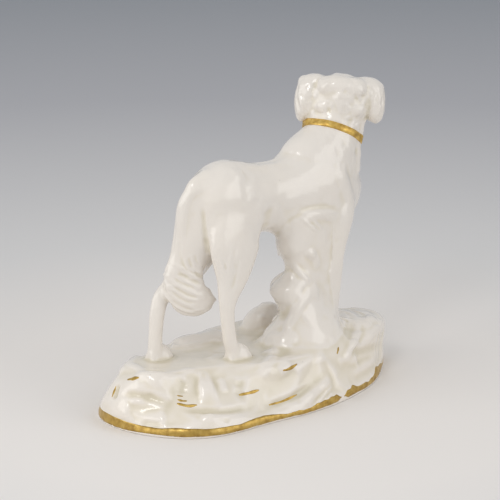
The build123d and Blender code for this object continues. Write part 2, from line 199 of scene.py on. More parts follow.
# %% [markdown]
# ## The pieces of clay
# The CAD nodes that are made of clay are read once. Collar and foot line are gold, and the floor slab keeps
# its CAD shape, so they aren't on the list. `joined` gives a search tree with which a ray finds the clay.

# %% The pieces of clay
ROCKS = ["base_mound", "rock_support", "front_bank", "far_boulder", "far_ledge"]
LEGS = ["hind_leg_left", "hind_leg_right", "foreleg_left", "foreleg_right"]
CLAY = [*ROCKS, "torso", "head", "ear_left", "ear_right", *LEGS, "tail"]
solid = {name: arrays(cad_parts[name].data) for name in CLAY}


def joined(names):
    """A tree for ray tests on several pieces together."""
    places, corners, start = [], [], 0
    for name in names:
        places.append(solid[name][0])
        corners.append(solid[name][1] + start)
        start += len(solid[name][0])
    return BVHTree.FromPolygons(np.concatenate(places).tolist(), np.concatenate(corners).tolist())


solid_tree = joined(CLAY)
print("clay pieces:", len(solid))

# %% [markdown]
# ## Where rolls of soft clay lie
# In a narrow gap between two pieces the repairer presses a roll of soft clay. Fillets could do this in CAD,
# but hardly between forms as free as these. A roll is a list of stations: a place and a radius in
# millimetres.

# %% Where rolls of soft clay lie
# Places on the head's own axes: forward, left and up
HEAD_ROLLS = [
    [(-2.5, 8.6, 5.0, 3.2), (-3.0, 9.4, 0.0, 3.4), (-2.8, 9.4, -4.5, 3.0), (-2.2, 9.2, -7.6, 2.2)],
    [(-2.5, -8.6, 5.0, 3.2), (-3.0, -9.4, 0.5, 3.4), (-2.4, -8.9, -3.5, 2.6)],
    [(-5.2, 5.0, 4.0, 4.0), (-5.6, 0.0, 4.2, 4.0), (-5.2, -5.0, 4.0, 4.0)],
    [(-5.0, 5.5, -3.0, 3.8), (-5.4, 0.0, -3.4, 4.0), (-5.0, -5.5, -3.0, 3.8)],
    [(-0.6, 12.4, 4.4, 3.0), (-0.5, 12.4, 0.0, 3.1), (-0.4, 12.2, -4.0, 3.3), (-0.4, 11.9, -6.0, 2.8)],
    [(-0.6, -12.4, 4.0, 2.9), (-0.5, -12.7, 0.0, 3.0), (-0.4, -12.2, -4.0, 3.3), (-0.4, -12.2, -5.4, 2.8)],
    [(-2.6, -7.0, -4.5, 2.6), (-2.6, -7.2, -8.0, 2.6), (-2.6, -6.6, -11.5, 2.4)],
]
# Places on the axes of the figure
ROLLS = [
    [(-51, 2, 15.5, 3.2), (-50.5, 8, 15.8, 3.4), (-48.5, 12.5, 15.6, 3.4), (-42, 16.5, 15.2, 3.4)],
    [(-52.5, 1, 15.8, 2.4), (-47, -3.6, 15.6, 2.6), (-42, -7, 15.4, 2.4)],
    [(-31.4, 0.2, 71, 2.4), (-31.2, 0.4, 64, 2.6), (-31.2, 0.6, 58, 2.6), (-31.6, 1.2, 52, 2.4)],
    [(-28.2, -1.4, 66, 2.6), (-28.4, -1.6, 60, 2.6), (-28.8, -1.0, 54, 2.2)],
    [(39.4, -5.0, 84.5, 3.4), (38.9, -4.9, 80, 4.0), (38.6, -5.0, 75, 4.0)],
]
# Pixels of the picture, the radius, and how far the roll is pressed into what it lies on, in millimetres
PICTURE_ROLLS = [
    ([(325, 205), (323, 214), (322, 236), (322, 260), (325, 285), (330, 310), (334, 328)], 2.6, 2.4),
    ([(206, 176), (198, 181), (193, 188)], 2.9, 1.5),
]
# A bridge is a straight roll between two places in the picture
BRIDGES = [
    ((187, 256), (187, 281), 2.4, 2.2),
    ((195, 256), (195, 284), 2.4, 2.2),
    ((202, 254), (201, 286), 1.5, 1.3),
    ((257, 207), (274, 207), 2.2, 2.0),
    ((257, 215), (275, 215), 2.2, 2.0),
    ((257, 223), (276, 223), 2.0, 1.8),
]
print("rolls:", len(HEAD_ROLLS) + len(ROLLS) + len(PICTURE_ROLLS) + len(BRIDGES))

# %% [markdown]
# ## Press the rolls in
# A roll could be a swept tube, but a tube needs care at its ends and bends. A row of overlapping balls
# needs none, because the remesh below melts them into each other and into their neighbours.

# %% Press the rolls in
BALL_ROWS, BALL_COLUMNS = 9, 14
ROLL_STEP, ROLL_STEP_PX, BRIDGE_BALLS = 1.0, 2.5, 14


def ball(centre, radius):
    """Places and triangles of a small closed ball."""
    rows, columns = BALL_ROWS, BALL_COLUMNS
    polar = np.linspace(0, math.pi, rows + 1)[1:-1, None]
    round_it = np.arange(columns) * math.tau / columns
    level = np.cos(polar) * np.ones(columns)
    rings = np.stack([np.sin(polar) * np.cos(round_it), np.sin(polar) * np.sin(round_it), level], -1)
    rings = rings.reshape(-1, 3)
    grid = np.arange(len(rings)).reshape(rows - 1, columns)
    after = np.roll(grid, -1, 1)
    lower = np.stack([grid[:-1], grid[1:], after[1:]], -1).reshape(-1, 3)
    upper = np.stack([grid[:-1], after[1:], after[:-1]], -1).reshape(-1, 3)
    top = np.stack([np.full(columns, len(rings)), grid[0], after[0]], -1)
    bottom = np.stack([np.full(columns, len(rings) + 1), after[-1], grid[-1]], -1)
    places = np.concatenate([rings, [[0, 0, 1], [0, 0, -1]]]) * radius + centre
    return places, np.concatenate([lower, upper, top, bottom])


def clay_roll(stations):
    """Balls along a path of places and radii in millimetres."""
    return [ball(station[:3] * mm, station[3] * mm) for station in resample(stations, ROLL_STEP)]


pellets = [pellet for stations in ROLLS for pellet in clay_roll(stations)]
for pixels, radius, sink in PICTURE_ROLLS:
    for pixel in resample(pixels, ROLL_STEP_PX):
        hit = solid_tree.ray_cast(eye, sight(pixel))[0]
        if hit is not None:
            pellets.append(ball(np.array(hit) + sight(pixel) * sink * mm, radius * mm))
for first, last, radius, sink in BRIDGES:
    ends = [np.array(solid_tree.ray_cast(eye, sight(p))[0]) + sight(p) * sink * mm for p in (first, last)]
    for share in np.linspace(0, 1, BRIDGE_BALLS):
        pellets.append(ball(ends[0] + (ends[1] - ends[0]) * share, radius * mm))
for stations in HEAD_ROLLS:
    stations = np.array(stations)
    pellets += clay_roll(np.column_stack([from_head(stations[:, :3]), stations[:, 3]]))
print("balls of clay:", len(pellets))

# %% [markdown]
# ## A plug for the base
# The base is hollow, and its floor slab is a piece of its own. A plug over the outline of the slab closes
# the base from below, so that the remesh doesn't run up inside.

# %% A plug for the base
SLAB_TURNS, SLAB_WINDOW = 180, 0.06
PLUG_GROWTH = 1.5 * mm
floor_places, _ = arrays(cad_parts["base_floor"].data)
floor_top = floor_places[:, 2].max()

turns = np.linspace(-math.pi, math.pi, SLAB_TURNS + 1)[:-1]
floor_turn = np.arctan2(floor_places[:, 1], floor_places[:, 0])
floor_reach = np.hypot(floor_places[:, 0], floor_places[:, 1])


def turn_between(one, other):
    """The turn from one direction to another, between half a turn back and half a turn on."""
    return (one - other + math.pi) % math.tau - math.pi


slab_outline = np.array([
    floor_reach[np.abs(turn_between(floor_turn, angle)) < SLAB_WINDOW].max() for angle in turns
])


def plug(growth, low, high):
    """A closed prism over the outline of the floor slab."""
    ring = np.stack([np.cos(turns), np.sin(turns)], 1) * (slab_outline + growth)[:, None]
    count = len(ring)
    places = np.zeros((2 * count + 2, 3))
    places[:count, :2], places[:count, 2] = ring, low
    places[count : 2 * count, :2], places[count : 2 * count, 2] = ring, high
    places[-2:, 2] = low, high
    here = np.arange(count)
    after = (here + 1) % count
    walls = np.stack([here, after, after + count, here + count], 1)
    below = np.stack([after, here, np.full(count, 2 * count)], 1)
    above = np.stack([here + count, after + count, np.full(count, 2 * count + 1)], 1)
    return places, walls, np.concatenate([below, above])


plug_places, plug_walls, plug_caps = plug(PLUG_GROWTH, 0.0, floor_top)
print("plug", round(float(floor_top / mm), 2), "mm high")

# %% [markdown]
# ## Fuse the clay
# Boolean unions could join the pieces, but they leave sharp seams and often fail on touching faces. A voxel
# remesh melts everything into one even skin of quads instead. V holds its vertices, Q its quads and E its
# edges.

# %% Fuse the clay
VOXEL = 0.36 * mm
all_places, start = [plug_places], len(plug_places)
all_triangles = [plug_caps, plug_walls[:, [0, 1, 2]], plug_walls[:, [0, 2, 3]]]
for places, corners in [*solid.values(), *pellets]:
    all_places.append(places)
    all_triangles.append(corners + start)
    start += len(places)
raw = make_object("raw_clay", np.concatenate(all_places), triangles=np.concatenate(all_triangles))
melt = raw.modifiers.new("melt", "REMESH")
melt.mode, melt.voxel_size, melt.adaptivity = "VOXEL", VOXEL, 0.0
skin_mesh = bpy.data.meshes.new_from_object(raw.evaluated_get(bpy.context.evaluated_depsgraph_get()))
bpy.data.objects.remove(raw)

V = np.empty(len(skin_mesh.vertices) * 3, np.float32)
skin_mesh.vertices.foreach_get("co", V)
V = V.reshape(-1, 3).astype(float)
Q = np.empty(len(skin_mesh.loops), np.int32)
skin_mesh.loops.foreach_get("vertex_index", Q)
Q = Q.reshape(-1, 4)
E = np.empty(len(skin_mesh.edges) * 2, np.int32)
skin_mesh.edges.foreach_get("vertices", E)
E = E.reshape(-1, 2)
bpy.data.meshes.remove(skin_mesh)
print("skin:", len(V), "vertices", len(Q), "quads")

# %% [markdown]
# ## Neighbours
# Smoothing needs to know which vertices lie beside which. The table has one row for each vertex, so one
# line of numpy can average over all neighbours at once.

# %% Neighbours
MOST_NEIGHBOURS = 6


def neighbour_table():
    """For each vertex its neighbours, filled up with the vertex itself."""
    ends = np.concatenate([E, E[:, ::-1]])
    ends = ends[np.argsort(ends[:, 0], kind="stable")]
    first = np.searchsorted(ends[:, 0], np.arange(len(V)))
    column = np.arange(len(ends)) - first[ends[:, 0]]
    found = np.repeat(np.arange(len(V))[:, None], MOST_NEIGHBOURS, 1)
    keep = column < MOST_NEIGHBOURS
    found[ends[keep, 0], column[keep]] = ends[keep, 1]
    return found


neighbours = neighbour_table()


def spread(values):
    """Values smoothed once over each vertex and its neighbours."""
    return values[neighbours].mean(1)


print("neighbour table:", neighbours.shape)

# %% [markdown]
# ## Who owns which bit of skin
# The skin has to come apart again into the named pieces. Each vertex is given to the CAD piece whose
# surface it lies on, and what lies on no piece, such as a clay roll, takes its owner from beside. The
# scores are smoothed a little, so that the borders are calm lines.

# %% Who owns which bit of skin
OWN_REACH, SCORE_SPREADS = 1.5 * mm, 6
score = np.zeros((len(V), len(CLAY)), np.float32)
nearest = np.full(len(V), OWN_REACH)
owner = np.zeros(len(V), int)
for index, (places, corners) in enumerate(solid.values()):
    tree = BVHTree.FromPolygons(places.tolist(), corners.tolist())
    low, high = places.min(0) - OWN_REACH, places.max(0) + OWN_REACH
    for i in np.where(((V > low) & (V < high)).all(1))[0]:
        distance = tree.find_nearest(V[i], nearest[i])[3]
        if distance is not None and distance < nearest[i]:
            nearest[i], owner[i] = distance, index
unclaimed = nearest >= OWN_REACH
print("vertices on no piece:", int(unclaimed.sum()))
while unclaimed.any():
    beside = np.where(unclaimed[neighbours], -1, owner[neighbours]).max(1)
    reached = unclaimed & (beside >= 0)
    if not reached.any():
        break
    owner[reached] = beside[reached]
    unclaimed &= ~reached
score[np.arange(len(V)), owner] = 1.0
for _ in range(SCORE_SPREADS):
    score = spread(score)
mine = {name: score[:, index] for index, name in enumerate(CLAY)}

# %% [markdown]
# ## No islands
# A piece should be one patch of skin. Faces of one owner that touch get the same group number, and every
# group but the largest goes to the owner that surrounds it.

# %% No islands
STRAY_PASSES = 40


def quad_sides(quads):
    """The four sides of every quad, as pairs of vertices."""
    return np.concatenate([quads[:, [k, (k + 1) % 4]] for k in range(4)])


def drop_islands(face_owner):
    """Small loose patches go to the owner that surrounds them."""
    sides = np.sort(quad_sides(Q), 1)
    key = sides[:, 0].astype(np.int64) * len(V) + sides[:, 1]
    order = np.argsort(key, kind="stable")
    twins = key[order][:-1] == key[order][1:]
    a, b = order[:-1][twins] % len(Q), order[1:][twins] % len(Q)
    same = face_owner[a] == face_owner[b]
    group = np.arange(len(Q))
    while True:
        low = np.minimum(group[a[same]], group[b[same]])
        before = group.copy()
        np.minimum.at(group, group[a[same]], low)
        np.minimum.at(group, group[b[same]], low)
        group = group[group]
        if (group == before).all():
            break
    main = {o: np.bincount(group[face_owner == o]).argmax() for o in range(len(CLAY))}
    stray = np.array([main[o] for o in face_owner]) != group
    for _ in range(STRAY_PASSES):
        if not stray.any():
            break
        for p, q in ((a, b), (b, a)):
            give = stray[p] & ~stray[q]
            face_owner[p[give]] = face_owner[q[give]]
            stray[p[give]] = False
    return face_owner


face_owner = drop_islands(score[Q].sum(1).argmax(1))
for index, name in enumerate(CLAY):
    print(name, int((face_owner == index).sum()), "faces")

# %% [markdown]
# ## Brush for slip
# The repairer's wet brush rounds every inner corner. The Smooth brush of sculpt mode does that by hand.
# Here `relax` pulls each vertex towards its neighbours, and a mask says how strongly. `border_mask` makes
# such a mask along the seams.

# %% Brush for slip
TOUCHED = 0.01
SEAM_GAIN, SEAM_FADE, SEAM_BOOST = 4, 0.995, 1.6


def relax(mask, times):
    """Draws the clay towards its neighbours, as strongly as the mask says."""
    live = np.where(mask > TOUCHED)[0]
    ring, pull = neighbours[live], mask[live, None]
    for _ in range(times):
        V[live] += (V[ring].mean(1) - V[live]) * pull


def calmed(mask, times):
    """A copy of the clay, smoothed where the mask is."""
    global V
    kept, V = V, V.copy()
    relax(mask, times)
    smooth, V = V, kept
    return smooth


def vertex_normals():
    """Unit normals of the fused skin."""
    face = np.cross(V[Q[:, 2]] - V[Q[:, 0]], V[Q[:, 3]] - V[Q[:, 1]])
    total = np.zeros_like(V)
    for corner in range(4):
        for k in range(3):
            total[:, k] += np.bincount(Q[:, corner], face[:, k], len(V))
    return total / (np.linalg.norm(total, axis=1, keepdims=True) + 1e-20)


def border_mask(pairs, width):
    """1 on the seams between these pieces, fading out over about width."""
    here = np.zeros(len(V))
    for one, other in pairs:
        here = np.maximum(here, np.minimum(mine[one], mine[other]) * SEAM_GAIN)
    here = np.minimum(here, 1.0)
    for _ in range(int((width / VOXEL) ** 2)):
        here = np.maximum(here * SEAM_FADE, spread(here))
    return np.clip(here * SEAM_BOOST, 0.0, 1.0)


# %% [markdown]
# ## Close the seams with slip
# Seams get as much brushing as they show on the figure: most where a leg or the tail grows out of the trunk
# and where the rock stands on the base, least where an ear lies on the skull. A wide pass over the rump,
# and one in the folds of trunk and head, take away what is left of the CAD edges.

# %% Close the seams with slip
ROOTS = [("torso", leg) for leg in LEGS] + [("torso", "tail")]
ROCK_PAIRS = [(a, b) for a in ROCKS for b in ROCKS if a < b]
# The pairs of pieces, the width of the seam in millimetres, and how often it is brushed
ROOT_SEAMS = [(ROOTS, 2.4, 260), ([("tail", "hind_leg_left")], 2.0, 200)]
OTHER_SEAMS = [
    ([("head", "ear_left"), ("head", "ear_right")], 0.8, 40),
    (ROCK_PAIRS, 1.6, 120),
    ([("rock_support", "base_mound")], 2.6, 300),
    ([("rock_support", "foreleg_right"), ("torso", "rock_support")], 2.2, 160),
    ([("rock_support", "foreleg_left")], 1.0, 60),
]
WHOLE_PULL, WHOLE_TIMES = 0.9, 6
RUMP, RUMP_REACH, RUMP_FADE, RUMP_TIMES = [-31, 0, 62], 15, 6, 110
FOLD_CALM, FOLD_DEPTH, FOLD_PULL, FOLD_TIMES = 160, 0.5 * mm, 1.5, 300


def brush_seams(seams):
    """Brushes the seams of a table one after the other."""
    for pairs, width, times in seams:
        relax(border_mask(pairs, width * mm), times)


bare = V.copy()
relax(np.full(len(V), WHOLE_PULL), WHOLE_TIMES)
brush_seams(ROOT_SEAMS)
rump = smoothstep((RUMP_REACH - np.linalg.norm(V / mm - RUMP, axis=1)) / RUMP_FADE)
relax(rump * np.clip(mine["torso"] + mine["hind_leg_left"] + mine["tail"], 0, 1), RUMP_TIMES)
brush_seams(OTHER_SEAMS)

body_mask = np.maximum(mine["torso"], mine["head"])
N = vertex_normals()
sunk = ((calmed(body_mask, FOLD_CALM) - V) * N).sum(1)
fold = np.clip(sunk / FOLD_DEPTH, 0, 1) * body_mask
relax(np.clip(spread(spread(fold)) * FOLD_PULL, 0, 1), FOLD_TIMES)
N = vertex_normals()
print("seams closed, moved at most", round(float(np.abs(V - bare).max() / mm), 2), "mm")

# %% [markdown]
# ## Find places on the clay
# A mark is placed in one of two ways. `seen` follows a line drawn on the picture and finds where it falls
# on the clay, and `near` takes points in millimetres and moves them on to the clay. Either way the mark
# sits on the skin.

# %% Find places on the clay
SEEN_STEP_PX = 1.5


def refresh():
    """Normals and ray tests follow the clay as it is now."""
    global N, skin_tree
    N = vertex_normals()
    skin_tree = BVHTree.FromPolygons(V.tolist(), Q.tolist())


def seen(pixels):
    """Where a line drawn on the picture falls on the clay."""
    hits = [skin_tree.ray_cast(eye, sight(p)) for p in resample(pixels, SEEN_STEP_PX)]
    hits = [(h[0], h[1]) for h in hits if h[0] is not None]
    return np.array([h[0] for h in hits]).reshape(-1, 3), np.array([h[1] for h in hits]).reshape(-1, 3)


def near(points, step=0.8):
    """Points in millimetres, moved on to the clay."""
    hits = [skin_tree.find_nearest(p) for p in resample(np.asarray(points, float) * mm, step * mm)]
    return np.array([h[0] for h in hits]), np.array([h[1] for h in hits])


refresh()
print("faces in the search tree:", len(Q))

# %% [markdown]
# ## Modelling tools
# A modeller has a tool that draws lines, raised or cut, and one that sets or dents a lump. Sculpt mode has
# both, but its strokes are hard to repeat in a script. Here a tool moves vertices along their normals, by a
# weight that fades out at its radius and turns off where the clay faces away from the mark.

# %% Modelling tools
FAR_AWAY = 1e9


def stroke(path, radius, height, ends=0.3):
    """Raises or cuts a line in the clay. Radius and height are millimetres."""
    points, facing = path
    if len(points) < 2:
        return
    radius, height = radius * mm, height * mm
    low, high = points.min(0) - radius, points.max(0) + radius
    close = np.where(((V > low) & (V < high)).all(1))[0]
    if not len(close):
        return
    p = V[close]
    best, share, side = np.full(len(p), FAR_AWAY), np.zeros(len(p)), np.zeros(len(p), int)
    last = len(points) - 1
    for i in range(last):
        leg = points[i + 1] - points[i]
        t = np.clip(((p - points[i]) @ leg) / max(leg @ leg, 1e-18), 0, 1)
        d = np.linalg.norm(p - points[i] - t[:, None] * leg, axis=1)
        closer = d < best
        best[closer], share[closer], side[closer] = d[closer], ((i + t) / last)[closer], i
    weight = np.clip(1 - (best / radius) ** 2, 0, 1) ** 2
    weight *= smoothstep(np.minimum(share, 1 - share) / ends)
    weight *= smoothstep((N[close] * facing[side]).sum(1) * 2)
    V[close] += N[close] * (weight * height)[:, None]


def lump(path, radius, height):
    """A rounded swelling, or a dent, round each point of a path."""
    points, facing = path
    for point, way in zip(points, facing):
        close = np.where((np.abs(V - point) < radius * mm).all(1))[0]
        d = np.linalg.norm(V[close] - point, axis=1) / (radius * mm)
        weight = np.clip(1 - d * d, 0, 1) ** 2 * smoothstep((N[close] * way).sum(1) * 2 + 0.4)
        V[close] += N[close] * (weight * height * mm)[:, None]


# %% [markdown]
# ## Fill the deep grooves
# Where two pieces meet in a deep groove, the repairer fills it with slip. Relaxing alone would also wear
# down the forms beside it, so `fill` raises the hollow places and leaves the high ones alone.

# %% Fill the deep grooves
NORMALS_EVERY, GROOVE_PULL = 25, 0.9


def around(places, reach):
    """1 close to these places, fading to 0 at the reach."""
    gap = np.full(len(V), FAR_AWAY)
    for place in places:
        gap = np.minimum(gap, ((V - place) ** 2).sum(1))
    return smoothstep(2 - 2 * np.sqrt(gap) / (reach * mm))


def fill(mask, times):
    """Raises hollow clay towards its neighbours."""
    live = np.where(mask > TOUCHED)[0]
    ring, pull = neighbours[live], mask[live, None]
    for step in range(times):
        if step % NORMALS_EVERY == 0:
            outward = vertex_normals()[live]
        rise = ((V[ring].mean(1) - V[live]) * outward).sum(1, keepdims=True)
        V[live] += outward * np.maximum(rise, 0) * pull


# A line on the picture, a reach in millimetres, and how often it is filled and then brushed
GROOVES = [
    ([(325, 199), (323, 214), (322, 236), (322, 260), (325, 285), (330, 310), (334, 332)], 10.0, 600, 120),
    ([(324, 186), (323, 198), (324, 212)], 8.0, 200, 220),
    ([(330, 218), (330, 238), (330, 258), (328, 276)], 5.0, 400, 140),
    ([(206, 174), (196, 180), (190, 192), (187, 214), (187, 236)], 6.5, 220, 90),
    ([(203, 194), (204, 214), (206, 240)], 5.0, 160, 10),
    ([(262, 202), (264, 212), (266, 224), (268, 230)], 8.0, 500, 260),
    ([(340, 316), (341, 330), (339, 344), (337, 356)], 6.0, 260, 30),
    ([(187, 264), (195, 270), (202, 276)], 6.0, 260, 40),
    ([(278, 262), (287, 270), (296, 276)], 4.0, 60, 10),
]
groove_masks = [around(seen(pixels)[0], reach) for pixels, reach, _, _ in GROOVES]
for groove_mask, (_, _, fill_times, relax_times) in zip(groove_masks, GROOVES):
    fill(groove_mask, fill_times)
    relax(groove_mask * GROOVE_PULL, relax_times)
refresh()
print("grooves filled:", len(GROOVES))

# %% [markdown]
# ## Rock: broad swells
# The rocks were pinched by hand, so no wall is even. A displace modifier with a texture could do it. Noise
# in three sizes does the same, and can be held back at the foot, where the gilt line runs, and on the level
# top.

# %% Rock: broad swells
SWELL_HEIGHT = 0.6
# A share, a size in millimetres and a seed
SWELLS = [(0.6, 12, 1), (0.3, 5.5, 2), (0.1, 2.4, 3)]
FOOT_TOP, FOOT_FADE, FOOT_SHARE, WALL_SHARE = 2.2 * mm, 3 * mm, 0.12, 0.88
PLATEAU, PLATEAU_BAND, PLATEAU_CALM = 18.5 * mm, 2 * mm, 0.6
rock_mask = np.clip(sum(mine[name] for name in ROCKS), 0, 1)
above_foot = smoothstep((V[:, 2] - FOOT_TOP) / FOOT_FADE)
level_top = smoothstep((N[:, 2] - 0.8) / 0.2) * (np.abs(V[:, 2] - PLATEAU) < PLATEAU_BAND)
swell = sum(share * noise(V, size * mm, seed) for share, size, seed in SWELLS)
rough = rock_mask * (FOOT_SHARE + WALL_SHARE * above_foot) * (1 - PLATEAU_CALM * level_top)
V += N * (rough * swell * SWELL_HEIGHT * mm)[:, None]
refresh()
print("rock share of the skin", round(float(rock_mask.mean()), 2))

# %% [markdown]
# ## Rock: soft facets
# Under the glaze the rocks show flat planes with soft edges, as a knife leaves them. Each seed lays a
# tilted plane on the clay, and the lowest of the three nearest planes cuts it. Smoothing the cut keeps the
# edges soft.

# %% Rock: soft facets
FACET_GAP, FACET_TILT, FACET_DEPTH = 7.5 * mm, 0.14, 0.8 * mm
FACET_SEED, FACET_TRIES, FACET_PLANES, FACET_SPREADS = 5, 4000, 3, 16
LEAST_LEAN, FACET_SHARE, SUPPORT_CALM = 0.35, 0.6, 0.25
chip = np.random.default_rng(FACET_SEED)
seeds = []
for i in chip.choice(len(V), FACET_TRIES, p=rough / rough.sum()):
    if all(np.linalg.norm(V[i] - V[j]) > FACET_GAP for j in seeds):
        seeds.append(i)
planes = N[seeds] + chip.normal(0, FACET_TILT, (len(seeds), 3))
planes /= np.linalg.norm(planes, axis=1, keepdims=True)
stone = np.where(rough > TOUCHED)[0]
gap = np.stack([((V[stone] - V[j]) ** 2).sum(1) for j in seeds], 1)
closest = np.argpartition(gap, FACET_PLANES, 1)[:, :FACET_PLANES]
cut = np.full(len(stone), FACET_DEPTH)
for column in closest.T:
    lean = np.maximum((N[stone] * planes[column]).sum(1), LEAST_LEAN)
    cut = np.minimum(cut, ((V[np.array(seeds)[column]] - V[stone]) * planes[column]).sum(1) / lean)
facet = np.zeros(len(V))
facet[stone] = np.clip(cut, -FACET_DEPTH, FACET_DEPTH)
for _ in range(FACET_SPREADS):
    facet = spread(facet)
V += N * (facet * rough * (FACET_SHARE - SUPPORT_CALM * mine["rock_support"]))[:, None]
refresh()
print("facets:", len(seeds))

# %% [markdown]
# ## Rock: the near side
# What the picture shows of the rocks is drawn line by line: first the big forms and the hollows under the
# ledges, then the sharper edges. A line has a radius and a height in millimetres, and a hollow has a
# negative height.

# %% Rock: the near side
PICTURE_ROCK = [
    ([(196, 388), (206, 386), (216, 384)], 7.5, 1.2),
    ([(128, 380), (146, 381), (166, 384)], 5.0, 0.6),
    ([(114, 398), (130, 394), (148, 397), (164, 402), (178, 407)], 2.2, -0.7),
    ([(176, 407), (190, 410), (206, 411), (230, 411), (256, 406)], 1.9, -0.6),
    ([(104, 408), (122, 413), (146, 418), (168, 418), (188, 415)], 3.2, 0.5),
    ([(188, 414), (208, 417), (228, 416.5), (250, 412)], 2.2, 0.5),
    ([(140, 424), (152, 424), (164, 425)], 2.0, -0.4),
    ([(136, 373), (146, 373), (158, 373), (170, 374)], 2.4, 0.4),
    ([(186, 380), (182, 388), (184, 396)], 2.4, -0.4),
    ([(238, 378), (242, 388), (238, 400)], 3.0, -0.5),
    ([(314, 284), (307, 296), (298, 308), (290, 322), (281, 342)], 2.6, 0.7),
    ([(290, 340), (276, 352), (266, 366), (258, 382)], 3.0, 0.6),
    ([(292, 300), (286, 312), (279, 322)], 2.4, -0.4),
    ([(262, 408), (282, 401), (300, 393), (314, 383)], 2.0, -0.8),
    ([(302, 402), (312, 394), (324, 384), (333, 377)], 3.2, 1.0),
    ([(352, 315), (357, 328), (352, 346), (344, 362)], 2.2, 0.7),
    ([(383, 319), (375, 330), (366, 343)], 2.2, 0.5),
    ([(345, 347), (356, 352), (372, 348), (384, 344)], 2.4, -0.5),
    ([(362, 321), (370, 319), (378, 319)], 3.5, 0.7),
    ([(348, 374), (362, 367), (378, 357)], 2.5, 0.5),
    ([(298, 220), (312, 215), (326, 214), (340, 218)], 3.0, 0.7),
    ([(294, 214), (310, 208), (326, 207.5), (344, 211)], 2.0, -0.2),
    ([(305, 250), (314, 257), (318, 270)], 2.4, 0.5),
    ([(276, 279), (287, 276), (297, 277)], 2.0, 0.4),
    ([(216, 377), (222, 384), (225, 394)], 2.2, 0.4),
    ([(291, 262), (299, 272), (309, 281), (313, 283)], 1.6, 0.5),
    ([(299, 216), (309, 225), (320, 233)], 1.0, 0.35),
    ([(306, 215), (315, 222), (324, 231)], 0.9, 0.3),
    ([(322, 213), (329, 221)], 0.9, 0.3),
    ([(316, 404), (325, 394), (333, 384)], 1.0, 0.4),
    ([(325, 402), (333, 392)], 0.9, 0.35),
    ([(128, 402), (137, 401), (146, 401)], 1.6, 0.3),
    ([(362, 330), (357, 340), (351, 351)], 1.2, 0.4),
]
# Stones at the foot of the rock. One pixel comes back from `seen` as three equal points, so each gets a third
STONES, STONE_POINTS = [((275, 341), 5.0, 1.5), ((288, 339), 4.5, 1.2), ((271, 353), 4.0, 1.2)], 3
for pixels, radius, height in PICTURE_ROCK:
    stroke(seen(pixels), radius, height)
for pixel, radius, height in STONES:
    lump(seen([pixel, pixel]), radius, height / STONE_POINTS)
refresh()
print("lines on the near rock:", len(PICTURE_ROCK))

# %% [markdown]
# ## Rock: the far side
# The far side isn't in the picture, so it repeats the same kinds of form: a long hollow above the flange, a
# few lumps, and ridges and folds that run down.

# %% Rock: the far side
FAR_ROCK = [
    ([(50, 16, 9), (30, 25, 8), (10, 28, 8.5), (-10, 28, 8), (-30, 28, 7.5), (-50, 18, 8)], 3.0, -1.3),
    ([(44, 18, 15), (36, 22, 16)], 5.0, 1.1),
    ([(-8, 25, 14), (-16, 25, 14)], 5.5, 1.2),
    ([(-38, 22, 14), (-46, 16, 14)], 5.0, 1.0),
    ([(14, 24, 17), (10, 26, 11), (4, 28, 6)], 2.2, 1.0),
    ([(22, 23, 17), (20, 26, 10)], 2.0, -0.9),
    ([(-26, 24, 16), (-24, 27, 9)], 2.2, -0.9),
    ([(30, 20, 19), (31, 24, 12), (34, 25, 6)], 1.8, 0.8),
    ([(56, 8, 14), (58, 4, 9), (58, 6, 5)], 2.0, 0.8),
    ([(57, -2, 15), (58, -3, 9)], 2.0, -0.9),
    ([(-56, 8, 13), (-59, 6, 8)], 2.0, -0.8),
    ([(10, 8, 20), (6, 4, 30), (6, 3, 42), (8, 3, 52)], 2.4, 0.9),
    ([(20, 6, 22), (22, 5, 34), (20, 5, 46)], 2.2, -0.9),
]
for points, radius, height in FAR_ROCK:
    stroke(near(points), radius, height)
refresh()
print("lines on the far rock:", len(FAR_ROCK))

# %% [markdown]
# ## The dog's form
# Bones and muscles could be more sections in the CAD lofts. As wide soft strokes they are easier to place:
# shoulder blades, flanks, hips, back, breast bone, thighs and the tendons of the hocks. The picture adds
# the folds and the edge of the rump.

# %% The dog's form
FORM = [
    ([(27, -11, 80), (30, -12, 72), (33, -11, 64)], 4.0, 0.7),
    ([(27, 11, 80), (32, 12, 72), (36, 11, 64)], 4.0, 0.7),
    ([(20, -12, 74), (20, -12, 66), (23, -11, 60)], 4.0, -0.15),
    ([(20, 12, 74), (20, 12, 66), (23, 11, 60)], 4.0, -0.15),
    ([(-6, -10, 70), (-5, -9.5, 64), (-6, -8, 60)], 4.0, -0.7),
    ([(-6, 10, 70), (-5, 9.5, 64), (-6, 8, 60)], 4.0, -0.7),
    ([(-20, -7, 83), (-13, -8, 82)], 3.0, 0.4),
    ([(-20, 7, 83), (-13, 8, 82)], 3.0, 0.4),
    ([(-24, 0, 85), (-10, 0, 84.5), (4, 0, 82), (16, 0, 84)], 2.4, -0.3),
    ([(47, 0, 74), (47, 0, 66), (44, 0, 58)], 3.0, 0.6),
    ([(-21.5, -12.5, 56), (-22.5, -12, 48), (-24.5, -10.5, 42)], 1.6, -0.35),
    ([(-31, 12.5, 56), (-34, 12.5, 49), (-38, 11.5, 43)], 1.6, -0.35),
    ([(-26.3, -9, 42), (-25.8, -9, 36), (-25.4, -9, 30)], 1.4, 0.4),
    ([(-41, 9.5, 43), (-41.4, 9.5, 37), (-41.5, 9.5, 30)], 1.4, 0.4),
]
for points, radius, height in FORM:
    stroke(near(points), radius, height)
refresh()
